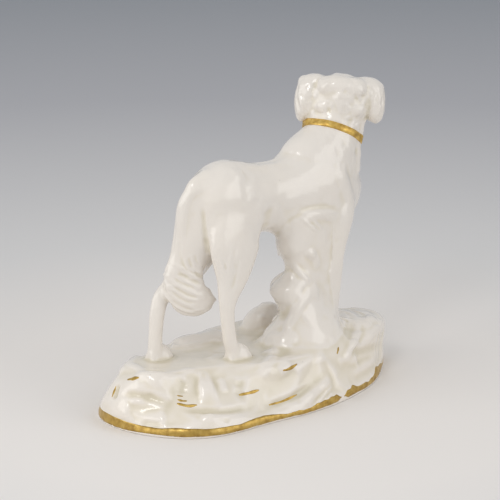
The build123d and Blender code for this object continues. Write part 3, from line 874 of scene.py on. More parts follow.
PICTURE_FORM = [
    ([(203, 204), (203.5, 218), (205, 236), (206.5, 252)], 1.5, -0.4),
    ([(205, 236), (206.5, 247), (207.5, 256)], 1.4, -0.3),
    ([(216, 187), (201, 188.5), (189, 197), (184, 212), (182, 232), (181, 252)], 1.8, 0.3),
    ([(248, 168), (247, 186), (250, 204)], 4.0, -0.4),
]
for pixels, radius, height in PICTURE_FORM:
    stroke(seen(pixels), radius, height)
refresh()
print("strokes on the dog:", len(FORM) + len(PICTURE_FORM))

# %% [markdown]
# ## Hair: locks
# The long coat is cut into the clay with a comb-like tool. Particle hair would look like fur, so each lock
# is a bundle of fine ridges and grooves that run the way hair grows. The seed keeps them the same on every
# run.

# %% Hair: locks
HAIR_SEED, LOCK_JITTER, LEAST_POINTS = 11, 0.12, 3
chance = np.random.default_rng(HAIR_SEED)


def locks(path, count, width, radius, height):
    """A bundle of fine ridges and grooves beside a path."""
    points, facing = path
    if len(points) < LEAST_POINTS:
        return
    along = np.gradient(points, axis=0)
    across = np.cross(facing, along)
    across /= np.linalg.norm(across, axis=1, keepdims=True) + 1e-12
    for index in range(count):
        shift = (index / max(count - 1, 1) - 0.5) * width + chance.normal(0, LOCK_JITTER * width / count)
        first, last = chance.uniform(0, 0.25), chance.uniform(0.75, 1.0)
        start = int(first * len(points))
        keep = slice(start, max(int(last * len(points)), start + LEAST_POINTS))
        hits = [skin_tree.find_nearest(p) for p in points[keep] + across[keep] * (shift * mm)]
        line = np.array([h[0] for h in hits]), np.array([h[1] for h in hits])
        stroke(line, radius, height if index % 2 else -height)


# A line, the number of ridges, the width of the bundle, and the radius and height of a ridge in millimetres
PICTURE_HAIR = [
    ([(170, 268), (180, 278), (192, 284), (204, 290), (213, 297)], 7, 7.5, 0.75, 0.22),
    ([(160, 282), (172, 296), (186, 305), (202, 306), (212, 303)], 7, 7.0, 0.75, 0.22),
    ([(178, 210), (177, 232), (176, 252), (170, 268)], 3, 2.6, 0.7, 0.14),
    ([(214, 252), (219, 266), (225, 282)], 5, 4.0, 0.7, 0.16),
    ([(232, 246), (232, 262), (229, 280)], 4, 4.0, 0.7, 0.12),
    ([(299, 82), (297, 96), (300, 112), (304, 120)], 5, 4.8, 0.8, 0.2),
    ([(375, 84), (377, 98), (376, 112), (373, 122)], 5, 4.8, 0.8, 0.2),
    ([(327, 132), (326, 146), (320, 162)], 4, 6.0, 1.2, 0.08),
    ([(338, 136), (344, 148), (346, 164)], 4, 6.0, 1.2, 0.08),
    ([(352, 144), (355, 160), (356, 178)], 3, 4.0, 1.0, 0.05),
    ([(264, 232), (268, 237), (272, 241)], 3, 2.0, 0.7, 0.1),
    ([(187, 252), (190, 263), (195, 274)], 5, 4.5, 0.7, 0.15),
]
for pixels, count, width, radius, height in PICTURE_HAIR:
    locks(seen(pixels), count, width, radius, height)
# The same for the sides that the picture doesn't show, in millimetres
HAIR = [
    ([(-37, 6, 56), (-37.5, 6.5, 50), (-35, 6, 44), (-30, 3, 40), (-25, 0, 38)], 6, 6.0, 0.75, 0.2),
    ([(46, 5, 76), (46.5, 4, 68), (43, 3, 60)], 5, 6.0, 0.9, 0.14),
    ([(46, -5, 76), (46.5, -4, 68), (43, -3, 60)], 4, 5.0, 0.9, 0.1),
    ([(25, 8, 52), (31, 9.5, 50), (31.5, 9.5, 42), (32, 9.5, 32)], 4, 2.4, 0.7, 0.18),
    ([(-26, 12.5, 58), (-30, 12.5, 52), (-34, 12, 46)], 5, 4.0, 0.7, 0.16),
    ([(5, 6, 57.5), (-4, 5, 58.5), (-12, 4, 59)], 5, 5.0, 0.75, 0.2),
    ([(30, 12, 84), (26, 12, 78), (24, 12, 70)], 5, 6.0, 0.8, 0.13),
    ([(37, 10, 84), (38, 11.5, 76), (37, 12, 68)], 5, 6.0, 0.8, 0.13),
]
for points, count, width, radius, height in HAIR:
    locks(near(points), count, width, radius, height)
refresh()
print("locks:", len(PICTURE_HAIR) + len(HAIR))

# %% [markdown]
# ## Hair: tufts
# Between the locks the coat is broken by short random marks on the back of the head, the mane and the
# plume. Before that, the tip of the right ear is raised a little, to hang as it does in the picture.

# %% Hair: tufts
EAR_FROM, EAR_LIFT = 94 * mm, 0.2
HEAD_WAY, HEAD_FROM, PLUME_BELOW = np.array([0.68, 0.73, 0.0]), 88 * mm, 52 * mm
MANE_FROM, MANE_RISE, MANE_FRONT, MANE_FADE = 74, 5, 24, 4
TUFT_JITTER, TUFT_SHORTEST, TUFT_LONGEST = 0.3, 0.7, 1.3


def tufts(mask, count, flow, length, radius, height):
    """Short random hair marks on the masked clay that run with the flow."""
    flow = np.asarray(flow, float)
    for i in chance.choice(len(V), count, p=mask / mask.sum()):
        run = flow + chance.normal(0, TUFT_JITTER, 3)
        run -= N[i] * (run @ N[i])
        run *= length * chance.uniform(TUFT_SHORTEST, TUFT_LONGEST) / (np.linalg.norm(run) + 1e-9)
        start = V[i] / mm
        line = near([start - run / 2, start, start + run / 2])
        stroke(line, radius, height * chance.choice([1.0, 1.0, -1.0]))


head_mask = mine["head"] + mine["ear_left"] + mine["ear_right"]
V[:, 2] += mine["ear_right"] * EAR_LIFT * np.maximum(EAR_FROM - V[:, 2], 0)
refresh()
behind = smoothstep(-(N @ HEAD_WAY) + 0.4)
scalp = head_mask * behind * (V[:, 2] > HEAD_FROM)
tufts(scalp, count=120, flow=(-0.2, 0, -1), length=3.4, radius=1.2, height=0.14)
mane = mine["torso"] * smoothstep((V[:, 2] / mm - MANE_FROM) / MANE_RISE)
mane = mane * smoothstep((V[:, 0] / mm - MANE_FRONT) / MANE_FADE)
tufts(mane, count=70, flow=(-0.25, 0, -1), length=3.6, radius=1.5, height=0.09)
plume = mine["tail"] * (V[:, 2] < PLUME_BELOW)
tufts(plume, count=40, flow=(0.75, -0.45, -0.35), length=6.0, radius=0.8, height=0.2)
refresh()
print("vertices of the mane:", int((mane > 0.5).sum()))

# %% [markdown]
# ## Face
# The face isn't in the picture, so it is a calm dog's face. It could be sculpted freely, but both halves
# should match. So one half is a list of lines and lumps on the head's own axes, mirrored and pulled on to
# the clay.

# %% Face
def on_head(points):
    """Places given as forward, left and up from the middle of the skull, in millimetres."""
    return near(from_head(points))


def spot(points):
    """The middle of a short line on the head, as a path of one point."""
    places, facing = on_head(points)
    return places[1:2], facing[1:2]


# A radius and a height follow each place: first the socket, then the ball of the eye in it
EYE, SOCKET, EYEBALL = [(8.2, 5.4, 3.0), (8.4, 5.3, 3.0), (8.6, 5.2, 3.0)], (3.2, -0.7), (1.7, 0.6)
NOSTRIL, NOSTRIL_DENT = [(20.2, 1.4, -0.6)] * 3, (0.9, -0.45)
NOSE, NOSE_SWELL = [(19.9, 0, 0.6)] * 3, (2.4, 0.45)
# Upper lid, lower lid, brow, mouth and lip
HALF_FACE = [
    ([(6.6, 6.6, 3.4), (7.6, 6.0, 4.6), (9.2, 4.6, 4.6), (10.2, 3.6, 3.0)], 0.9, 0.4),
    ([(6.8, 6.6, 2.2), (8.2, 5.8, 1.4), (10.0, 4.0, 2.0)], 0.8, 0.25),
    ([(9.0, 2.6, 5.6), (6.5, 4.0, 6.6)], 1.8, 0.5),
    ([(19.5, 2.4, -4.0), (16.0, 4.6, -4.6), (12.0, 5.6, -4.4), (9.5, 6.4, -3.2)], 0.8, -0.45),
    ([(18.5, 3.0, -2.0), (14.5, 4.6, -2.6), (11.5, 5.4, -2.6)], 2.0, 0.5),
]
# The furrow of the forehead and the line below the nose
MIDDLE_FACE = [
    ([(8.5, 0, 6.4), (4, 0, 8.2), (-1, 0, 8.8)], 1.6, -0.35),
    ([(20.6, 0, -1.4), (20.2, 0, -3.4)], 0.7, -0.4),
]
for side in (1, -1):
    mirror = np.array([1, side, 1])
    lump(spot(EYE * mirror), *SOCKET)
    refresh()
    lump(spot(EYE * mirror), *EYEBALL)
    for points, radius, height in HALF_FACE:
        stroke(on_head(points * mirror), radius, height)
    lump(spot(NOSTRIL * mirror), *NOSTRIL_DENT)
for points, radius, height in MIDDLE_FACE:
    stroke(on_head(points), radius, height)
lump(spot(NOSE), *NOSE_SWELL)
print("lines in the face:", 2 * len(HALF_FACE) + len(MIDDLE_FACE))

# %% [markdown]
# ## Paws
# Three short cuts divide each paw into four toes. They start on top of the paw, behind the foremost point
# of the solid leg, and run down over its edge.

# %% Paws
# The middle of each paw, left of the figure's own middle
PAWS = {"hind_leg_left": 9.0, "hind_leg_right": -9.0, "foreleg_left": 9.0, "foreleg_right": -9.0}
PAW_TOP, TOE_SHIFTS, OUTER_DROP = 22, (-1.7, 0.0, 1.7), 0.6
# How far behind the foremost point, whether an outer cut lies further back there, and the height
TOE_CUT = [(3.8, 0, 23.4), (1.6, 1, 22.4), (0.3, 1, 19.0)]
TOE_RADIUS, TOE_DEPTH, TOE_ENDS = 0.75, -0.5, 0.15
for name, middle in PAWS.items():
    places = solid[name][0] / mm
    toe = places[places[:, 2] < PAW_TOP][:, 0].max()
    for shift in TOE_SHIFTS:
        drop = OUTER_DROP if shift else 0.0
        line = [(toe - inward - drop * moved, middle + shift, high) for inward, moved, high in TOE_CUT]
        stroke(near(line), TOE_RADIUS, TOE_DEPTH, ends=TOE_ENDS)
refresh()
print("toe cuts:", len(PAWS) * len(TOE_SHIFTS))

# %% [markdown]
# ## Small lumps of hand work
# Nothing hand made is quite smooth. A bump map could hint at it, but an exported mesh would lose that, so a
# faint swell goes over the whole dog. It gives the glaze its broken highlights. The foot is then set flat
# on the table.

# %% Small lumps of hand work
# A height and a size in millimetres, and a seed
DOG_SWELLS = [(0.10, 4.5, 5), (0.05, 2.0, 6)]
HEAD_SWELL, HEAD_SIZE, HEAD_SEED = 0.12, 2.6, 8
LAST_PULL, LAST_TIMES = 0.4, 2
FOOT_SNAP = 0.25 * mm
dog_mask = 1 - rock_mask
dog_swell = sum(height * noise(V, size * mm, seed) for height, size, seed in DOG_SWELLS)
V += N * (dog_mask * dog_swell * mm)[:, None]
V += N * (head_mask * HEAD_SWELL * noise(V, HEAD_SIZE * mm, HEAD_SEED) * mm)[:, None]
relax(np.full(len(V), LAST_PULL), LAST_TIMES)
V[V[:, 2] < FOOT_SNAP, 2] = 0.0
refresh()
print("top of the head at", round(float(V[:, 2].max() / mm), 1), "mm")

# %% [markdown]
# ## Where the glaze pools, with painted shade in the hollows
# Glaze runs off the high places and gathers in the hollows, where it looks cream; the same value also paints
# shade there, so the hollows turn darker. A shader could guess this from pointiness, but a value on the
# vertices goes along with the mesh. The hollow of a vertex is how far it lies below the same skin smoothed
# out, over a short reach and over a long one. The base gets more of the same value, which colours it darker
# and more ivory
# than the dog: painted shade.

# %% Where the glaze pools, with painted shade in the hollows
# Painted shade: the pooling value darkens the hollows and the whole base, besides marking glaze pooling
POOL_SHADE_LEAST, POOL_SHADE_SHARE, BASE_SHADE = -0.3, 0.6, 0.35
# How often the skin is smoothed, and the hollow in millimetres that counts as full
FINE, WIDE = (16, 0.16), (90, 0.8)


def shade_pooled(times, depth):
    """How deep in a hollow each vertex lies, for glaze pooling and painted shade, against the smoothed skin.
    """
    below_smooth = ((calmed(np.ones(len(V)), times) - V) * N).sum(1) / mm
    return np.clip(below_smooth / depth, POOL_SHADE_LEAST, 1) * POOL_SHADE_SHARE


pool_and_shade = shade_pooled(*FINE) + shade_pooled(*WIDE)
# The base gets a darker, more ivory colour through this value: painted shade
pool_and_shade = np.clip(spread(spread(pool_and_shade)) + BASE_SHADE * mine["base_mound"], 0, 1)
print("pooled share", round(float((pool_and_shade > 0.3).mean()), 3))

# %% [markdown]
# ## Material helpers
# A material is a small network of nodes. `new_material` gives a shader and a short way to add linked nodes,
# `ramp` turns a value into a colour, and `multiplied` lays one colour over another.

# %% Material helpers
def new_material(name):
    """A material with its node tree, its shader, and a maker of linked nodes."""
    material = bpy.data.materials.new(name)
    material.use_nodes = True
    tree = material.node_tree
    shader = tree.nodes["Principled BSDF"]

    def add(kind, inputs=None, **settings):
        node = tree.nodes.new(kind)
        for key, value in settings.items():
            setattr(node, key, value)
        for key, value in (inputs or {}).items():
            if isinstance(value, bpy.types.NodeSocket):
                tree.links.new(value, node.inputs[key])
            else:
                node.inputs[key].default_value = value
        return node

    return material, tree, shader, add


def ramp(add, source, stops):
    """A colour that follows a value. A stop is a value and a colour."""
    node = add("ShaderNodeValToRGB", {"Fac": source})
    elements = node.color_ramp.elements
    while len(elements) < len(stops):
        elements.new(0.5)
    for element, (place, colour) in zip(elements, stops):
        element.position, element.color = place, (*colour, 1.0)
    return node.outputs["Color"]


def grey(value):
    return (value, value, value)


# Sockets of a Mix node that mixes colours
MIX_A, MIX_B, MIX_OUT = 6, 7, 2


def multiplied(tree, add, first, second, share):
    """One colour multiplied by another, as far as share says."""
    node = add("ShaderNodeMix", {"Factor": share}, data_type="RGBA", blend_type="MULTIPLY")
    tree.links.new(first, node.inputs[MIX_A])
    tree.links.new(second, node.inputs[MIX_B])
    return node.outputs[MIX_OUT]


# %% [markdown]
# ## Glazed porcelain
# Porcelain is a white body under a clear glossy glaze. Subsurface light would be truer, but it is slow and
# hardly shows at this size. The colour comes from the pooling value, which turns the hollows darker and cream
# as glaze pooling and painted shade, from a slow drift of warm and cool white, and from a few iron specks. A
# faint wave in the normal and a coat give the wet shine of the glaze.

# %% Glazed porcelain
# Painted shade: the deeper the hollow, the darker and creamier the colour
GLAZE_AND_SHADE = [(0.0, (0.82, 0.768, 0.705)), (0.35, (0.78, 0.72, 0.62)), (1.0, (0.67, 0.61, 0.48))]
DRIFT = [(0.3, (0.95, 0.955, 0.965)), (0.7, (1.0, 0.995, 0.985))]
SPECKS, SPECK_SHARE = [(0.0, grey(0.25)), (0.035, grey(0.9)), (0.05, grey(1))], 0.35
DARK_PAINT = (0.02, 0.012, 0.008, 1.0)


def make_porcelain():
    material, tree, shader, add = new_material("porcelain_glaze")
    place = add("ShaderNodeTexCoord").outputs["Object"]
    # The pooling value: glaze pooling and painted shade in the hollows
    pooled_shade_value = add("ShaderNodeAttribute", attribute_name="pool_and_shade").outputs["Fac"]
    tint_and_shade = ramp(add, pooled_shade_value, GLAZE_AND_SHADE)
    drift = add("ShaderNodeTexNoise", {"Vector": place, "Scale": 45.0, "Detail": 3.0}).outputs["Fac"]
    body = multiplied(tree, add, tint_and_shade, ramp(add, drift, DRIFT), 1.0)
    specks = add("ShaderNodeTexVoronoi", {"Vector": place, "Scale": 140.0}).outputs["Distance"]
    spotted = multiplied(tree, add, body, ramp(add, specks, SPECKS), SPECK_SHARE)
    brushed = add("ShaderNodeAttribute", attribute_name="paint").outputs["Fac"]
    painted = add("ShaderNodeMix", {"Factor": brushed}, data_type="RGBA")
    painted.inputs[MIX_B].default_value = DARK_PAINT
    tree.links.new(spotted, painted.inputs[MIX_A])
    tree.links.new(painted.outputs[MIX_OUT], shader.inputs["Base Color"])
    wave = add("ShaderNodeTexNoise", {"Vector": place, "Scale": 260.0, "Detail": 2.0}).outputs["Fac"]
    bump = add("ShaderNodeBump", {"Height": wave, "Strength": 0.12, "Distance": 0.0006})
    tree.links.new(bump.outputs["Normal"], shader.inputs["Normal"])
    shader.inputs["Roughness"].default_value = 0.2
    shader.inputs["IOR"].default_value = 1.5
    shader.inputs["Coat Weight"].default_value = 0.5
    shader.inputs["Coat Roughness"].default_value = 0.06
    return material


porcelain = make_porcelain()
print("material:", porcelain.name)

# %% [markdown]
# ## Gold and bare clay
# Gilding is thin gold on the glaze, so brush marks and worn places show: fine noise drives its colour, its
# roughness and a small bump. One recipe gives two golds: a lighter one on the collar and a darker one on the
# foot line and the strokes, partly wear and partly painted light and shade. The underside has no glaze and
# shows the grain of the fired clay.

# %% Gold and bare clay
GOLD = [(0.3, (0.42, 0.25, 0.05)), (0.55, (0.64, 0.42, 0.1)), (0.8, (0.8, 0.58, 0.2))]
GOLD_ROUGHNESS = [(0.3, grey(0.42)), (0.8, grey(0.24))]
# How bright each gold is: the collar lighter, the foot line and strokes darker, as painted light and shade
# and as wear
LIT_COLLAR, SHADED_WORN = 1.1, 0.8
BARE_CLAY = [(0.3, (0.56, 0.51, 0.43)), (0.7, (0.72, 0.68, 0.6))]


def make_gilding(name, strength):
    """Thin gold. Strength scales its colour, for wear and for painted light and shade."""
    material, tree, shader, add = new_material(name)
    place = add("ShaderNodeTexCoord").outputs["Object"]
    streak = add("ShaderNodeTexNoise", {"Vector": place, "Scale": 500.0, "Detail": 4.0}).outputs["Fac"]
    golds = [(stop, tuple(strength * part for part in colour)) for stop, colour in GOLD]
    tree.links.new(ramp(add, streak, golds), shader.inputs["Base Color"])
    tree.links.new(ramp(add, streak, GOLD_ROUGHNESS), shader.inputs["Roughness"])
    bump = add("ShaderNodeBump", {"Height": streak, "Strength": 0.25, "Distance": 0.0002})
    tree.links.new(bump.outputs["Normal"], shader.inputs["Normal"])
    shader.inputs["Metallic"].default_value = 0.6
    return material


def make_unglazed():
    material, tree, shader, add = new_material("unglazed_clay")
    place = add("ShaderNodeTexCoord").outputs["Object"]
    grain = add("ShaderNodeTexNoise", {"Vector": place, "Scale": 900.0, "Detail": 5.0}).outputs["Fac"]
    tree.links.new(ramp(add, grain, BARE_CLAY), shader.inputs["Base Color"])
    bump = add("ShaderNodeBump", {"Height": grain, "Strength": 0.4, "Distance": 0.0002})
    tree.links.new(bump.outputs["Normal"], shader.inputs["Normal"])
    shader.inputs["Roughness"].default_value = 0.85
    return material


unglazed = make_unglazed()
lit_collar_gold, shaded_worn_gold = make_gilding("gilding_lit_collar", LIT_COLLAR), make_gilding("gilding_shaded_worn", SHADED_WORN)
print("materials:", unglazed.name, lit_collar_gold.name, shaded_worn_gold.name)

# %% [markdown]
# ## Painted eyes and nose
# Two dark pupils and a dark nose are the only paint. An image would need an unwrapped mesh, so the paint is
# a value on the vertices, soft at its edge like a brush.

# %% Painted eyes and nose
PAINT_EDGE = 0.45 * mm
# Forward, left and up on the head, and the radius of the spot
PAINTED_SPOTS = [(8.5, 5.3, 3.0, 0.95), (8.5, -5.3, 3.0, 0.95), (20.3, 0.0, 0.1, 1.9)]
paint = np.zeros(len(V))
for *place, size in PAINTED_SPOTS:
    centre = spot([place] * 3)[0]
    paint = np.maximum(paint, smoothstep((size * mm - np.linalg.norm(V - centre, axis=1)) / PAINT_EDGE))
print("painted vertices:", int((paint > 0.5).sum()))

# %% [markdown]
# ## Cut the skin into its pieces
# Figures like this are cast hollow, so each piece becomes a thin wall: its own faces outside, the same
# faces again a little further in, and a strip that joins the two along the open rim. The Solidify modifier
# could do this, but the normals of the whole skin have to stay on the outside, so that no seam shows
# through the glaze.

# %% Cut the skin into its pieces
WALL = 0.5 * mm
SLAB_LEVEL, SLAB_GAP, SLAB_LAP = 0.05 * mm, 0.15 * mm, 0.2 * mm


def shell(faces, wall):
    """Places and quads of a closed wall whose outside is these faces."""
    used, packed = np.unique(faces, return_inverse=True)
    packed = packed.reshape(-1, 4)
    count = len(used)
    half = quad_sides(packed).astype(np.int64)
    forth, reverse = half[:, 0] * count + half[:, 1], half[:, 1] * count + half[:, 0]
    a, b = half[~np.isin(forth, reverse)].T
    rim = np.stack([b, a, a + count, b + count], 1)
    places = np.concatenate([V[used], V[used] - N[used] * wall])
    return used, places, np.concatenate([packed, packed[:, ::-1] + count, rim])


def cut_piece(name, faces):
    """A piece of the skin as a thin closed wall, with the normals of the whole skin on its outside."""
    used, places, quads = shell(faces, WALL)
    obj = make_object(name, places, quads)
    mesh = obj.data
    # The pooling value carries glaze pooling and painted shade; paint marks the painted eyes and nose
    for key, values in (("pool_and_shade", pool_and_shade), ("paint", paint)):
        layer = mesh.attributes.new(key, "FLOAT", "POINT")
        layer.data.foreach_set("value", np.tile(values[used], 2).astype(np.float32))
    mesh.polygons.foreach_set("use_smooth", np.ones(len(mesh.polygons), bool))
    corner = np.empty(len(mesh.loops) * 3, np.float32)
    mesh.corner_normals.foreach_get("vector", corner)
    corner = corner.reshape(-1, 3)
    corner[: faces.size] = N[faces.ravel()]
    mesh.normals_split_custom_set(corner.tolist())
    mesh.materials.append(porcelain)
    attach(obj, "root")
    return obj


slab_edge = np.interp(np.arctan2(V[:, 1], V[:, 0]), turns, slab_outline + SLAB_GAP, period=math.tau)
under_slab = (V[:, 2] < SLAB_LEVEL) & (np.hypot(V[:, 0], V[:, 1]) < slab_edge + SLAB_LAP)
for index, name in enumerate(CLAY):
    faces = Q[face_owner == index]
    if name == "base_mound":
        faces = faces[~under_slab[faces].all(1)]
    piece = cut_piece("clay_" + name, faces)
    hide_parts(name)
    print(piece.name, len(piece.data.polygons), "faces")

# %% [markdown]
# ## A strip of gold
# Gold lies on the glaze as a thin raised film. It could be a colour in the glaze, but as a closed strip of
# mesh it catches the light at its edges and stays a piece of its own. `lay_gold` gives a point on top of
# the film and one sunk in the clay, and `strip_faces` closes such a strip all round.

# %% A strip of gold
GOLD_EDGE, GOLD_ROOT = 0.01, 0.12
STRIP_ROWS, STROKE_LIFT = 7, 0.05


def lay_gold(hit, across, lift):
    """A point on top of the gold and one below it. Across runs from -1 to 1 over the width."""
    surface, normal = np.array(hit[0]), np.array(hit[1])
    top = surface + normal * (lift * (1 - across ** 4) + GOLD_EDGE) * mm
    return top, surface - normal * GOLD_ROOT * mm


def strip_faces(count, rows):
    """Quads of a closed strip: a top sheet, the same sheet below it, and a rim."""
    size = count * rows
    grid = np.arange(size).reshape(count, rows)
    sheet = np.stack([grid[:-1, :-1], grid[1:, :-1], grid[1:, 1:], grid[:-1, 1:]], -1).reshape(-1, 4)
    rim = np.concatenate([grid[:, 0], grid[-1, 1:], grid[-2::-1, -1], grid[0, -2:0:-1]])
    after = np.roll(rim, -1)
    return np.concatenate([sheet, sheet[:, ::-1] + size, np.stack([after, rim, rim + size, after + size], 1)])


def finish_gilt(obj, gold):
    """Smooth shading, a gold, and the frame's names for a gilt piece."""
    mesh = obj.data
    mesh.polygons.foreach_set("use_smooth", np.ones(len(mesh.polygons), bool))
    mesh.materials.append(gold)
    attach(obj, "root")
    return obj


def ribbon(name, path, width):
    """A closed strip on the clay along a path. Width is a list of millimetres along the path."""
    points, facing = path
    across = np.cross(facing, np.gradient(points, axis=0))
    across /= np.linalg.norm(across, axis=1, keepdims=True) + 1e-12
    top, below = [], []
    for point, sideways, wide in zip(points, across, width):
        for share in np.linspace(-1, 1, STRIP_ROWS):
            hit = skin_tree.find_nearest(point + sideways * (share * wide * mm / 2))
            high, low = lay_gold(hit, share, STROKE_LIFT)
            top.append(high)
            below.append(low)
    obj = make_object(name, np.array(top + below), strip_faces(len(points), STRIP_ROWS))
    # The darker gold: wear and painted shade
    return finish_gilt(obj, shaded_worn_gold)


# %% [markdown]
# ## Gilt strokes on the rocks
# The gilder touches the ledges with short strokes. Their width swells in the middle and dies away at the
# ends, as a loaded brush leaves it. On the near side they lie where the picture shows them, and on the far
# side they are guesses of the same kind.

# %% Gilt strokes on the rocks
STROKE_STEP = 0.3
# A line on the picture, and the greatest width in millimetres
PICTURE_GILT = [
    ([(127.5, 379.5), (133, 378.5), (139, 377.5)], 1.7),
    ([(116, 386), (114, 391.5), (112, 397)], 0.8),
    ([(177, 395.5), (180, 396), (183, 396.2)], 0.6),
    ([(177.5, 399.5), (182, 400.8), (187, 401)], 0.9),
    ([(177, 403.5), (186, 405.8), (197, 405)], 1.3),
    ([(239, 395), (249, 393), (259, 390)], 1.3),
    ([(283, 370.5), (290, 368.5), (297, 364)], 1.4),
    ([(269, 405), (283, 401), (297, 394.5)], 1.0),
    ([(338.5, 347), (338, 350.5), (337, 354)], 0.9),
]
# The same in millimetres
FAR_GILT = [
    ([(-38, 27, 9), (-33, 28, 10), (-28, 28, 9)], 1.3),
    ([(-10, 27, 13), (-4, 27, 12), (2, 27, 13)], 1.3),
    ([(-8, 28, 8), (-3, 28, 8.5)], 0.9),
    ([(20, 27, 10), (26, 25.5, 12), (31, 24, 12)], 1.3),
    ([(44, 18, 8), (49, 15, 9), (53, 12, 8)], 1.2),
    ([(56, 2, 12), (57, -2, 13), (56, -6, 12)], 1.2),
    ([(-52, 21, 10), (-47.5, 24, 11), (-44, 25.5, 10)], 1.3),
    ([(8, 17, 22), (13, 17, 23), (17, 16, 22)], 1.0),
]


def brush_width(count, widest):
    """Widths along a stroke in millimetres, with a slight waver."""
    share = np.linspace(0, 1, count)
    swelling = np.sqrt(np.clip(np.sin(math.pi * (0.04 + 0.92 * share)), 0, 1))
    return widest * swelling * (0.85 + 0.15 * np.sin(share * 9 + widest * 20))


for index, (pixels, widest) in enumerate(PICTURE_GILT):
    points = seen(pixels)[0] / mm
    path = near(points[[0, len(points) // 2, -1]], STROKE_STEP)
    ribbon(f"gilt_stroke_{index + 1}", path, brush_width(len(path[0]), widest))
for index, (points, widest) in enumerate(FAR_GILT):
    path = near(points, STROKE_STEP)
    ribbon(f"gilt_stroke_far_{index + 1}", path, brush_width(len(path[0]), widest))
print("gilt strokes:", len(PICTURE_GILT) + len(FAR_GILT))

# %% [markdown]
# ## Edges of the gilt foot line
# A broad brush draws the line round the foot. Its edges waver, it breaks at the front end, and it is higher
# or lower in a few places that the picture shows. A place is found by the pixel that shows it, as a
# direction from the middle of the base.

# %% Edges of the gilt foot line
LINE_STEPS, LINE_HEIGHT, LINE_CIRCLE = 420, 2.0 * mm, 30
LINE_BREAK, BREAK_AFTER, BREAK_BEFORE = (340, 396), 0.03, 0.02
# A level in millimetres, and swells with a height, a size and a seed
LOW_EDGE, LOW_WAVER = 0.7, [(0.2, 6, 21), (0.1, 2, 22)]
HIGH_EDGE, HIGH_WAVER = 3.0, [(0.5, 5, 23), (0.2, 1.7, 24)]
LEAST_WIDTH, TAPER_STEPS, END_SHARE, SWELL_SHARE = 0.3, 5, 0.15, 0.85


def turn_at(pixel):
    """The direction from the middle of the base to the place on the foot line that a pixel shows."""
    way = sight(pixel)
    place = eye + way * ((LINE_HEIGHT - eye[2]) / way[2])
    return math.atan2(place[1], place[0])


def wavering(level, waver):
    """A height in millimetres all round the foot."""
    for height, size, seed in waver:
        level = level + height * noise(circle, size * mm, seed)
    return level


line_turns = turn_at(LINE_BREAK) + np.linspace(BREAK_AFTER, math.tau - BREAK_BEFORE, LINE_STEPS)
circle = np.stack([np.cos(line_turns), np.sin(line_turns), np.zeros(LINE_STEPS)], 1) * LINE_CIRCLE * mm
low_edge, high_edge = wavering(LOW_EDGE, LOW_WAVER), wavering(HIGH_EDGE, HIGH_WAVER)
# A pixel, how far the patch spreads in radians, and how much higher the gold reaches in millimetres
PATCHES = (
    ((350, 390), 0.045, 1.1), ((378, 373), 0.05, 1.3), ((364, 382), 0.04, -0.9), ((108, 420), 0.25, 1.3),
    ((300, 411), 0.3, -0.8), ((385, 360), 0.07, -1.9),
)
for pixel, spread_turn, extra in PATCHES:
    apart = turn_between(line_turns, turn_at(pixel))
    high_edge += extra * np.exp(-((apart / spread_turn) ** 2))
high_edge = np.maximum(high_edge, low_edge + LEAST_WIDTH)
from_end = np.minimum(np.arange(LINE_STEPS), LINE_STEPS - 1 - np.arange(LINE_STEPS))
narrow = END_SHARE + SWELL_SHARE * smoothstep(from_end / TAPER_STEPS)
middle_edge = (low_edge + high_edge) / 2
low_edge = middle_edge + (low_edge - middle_edge) * narrow
high_edge = middle_edge + (high_edge - middle_edge) * narrow
print("foot line up to", round(float(high_edge.max()), 1), "mm high")

# %% [markdown]
# ## The gilt foot line
# Rays look in at the base from all round, at several heights between the two edges, and the gold is laid
# where they meet the clay. A curve with a bevel could be bent round the base, but it would not follow every
# dent.

# %% The gilt foot line
RAY_FROM, LINE_LIFT = 0.09, 0.06
top, below = [], []
for turn_here, low, high in zip(line_turns, low_edge, high_edge):
    way = Vector((math.cos(turn_here), math.sin(turn_here), 0))
    for share in np.linspace(0, 1, STRIP_ROWS):
        axis_point = Vector((0, 0, (low + (high - low) * share) * mm))
        hit = skin_tree.ray_cast(axis_point + way * RAY_FROM, -way)
        over, under = lay_gold(hit, 2 * share - 1, LINE_LIFT)
        top.append(over)
        below.append(under)
line_faces = strip_faces(LINE_STEPS, STRIP_ROWS)
# The darker gold: wear and painted shade at the foot
foot_line = finish_gilt(make_object("gilt_foot_line", np.array(top + below), line_faces), shaded_worn_gold)
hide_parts("gilt_line")
print(foot_line.name, len(foot_line.data.polygons), "faces")

# %% [markdown]
# ## Collar
# The collar is a rounded strap of gold. A torus would float over the hair, so its profile is set on the
# neck all round: rays from inside find the CAD neck at both edges of the strap, and a ray from outside then
# corrects each point to the modelled clay.

# %% Collar
collar_centre = Vector((35.7, 0.75, 87.15)) * mm
collar_lean = Vector((0.5, 0.15, 0.86)).normalized()
collar_side = Vector((0, 1, 0)).cross(collar_lean).normalized()
collar_front = collar_lean.cross(collar_side)
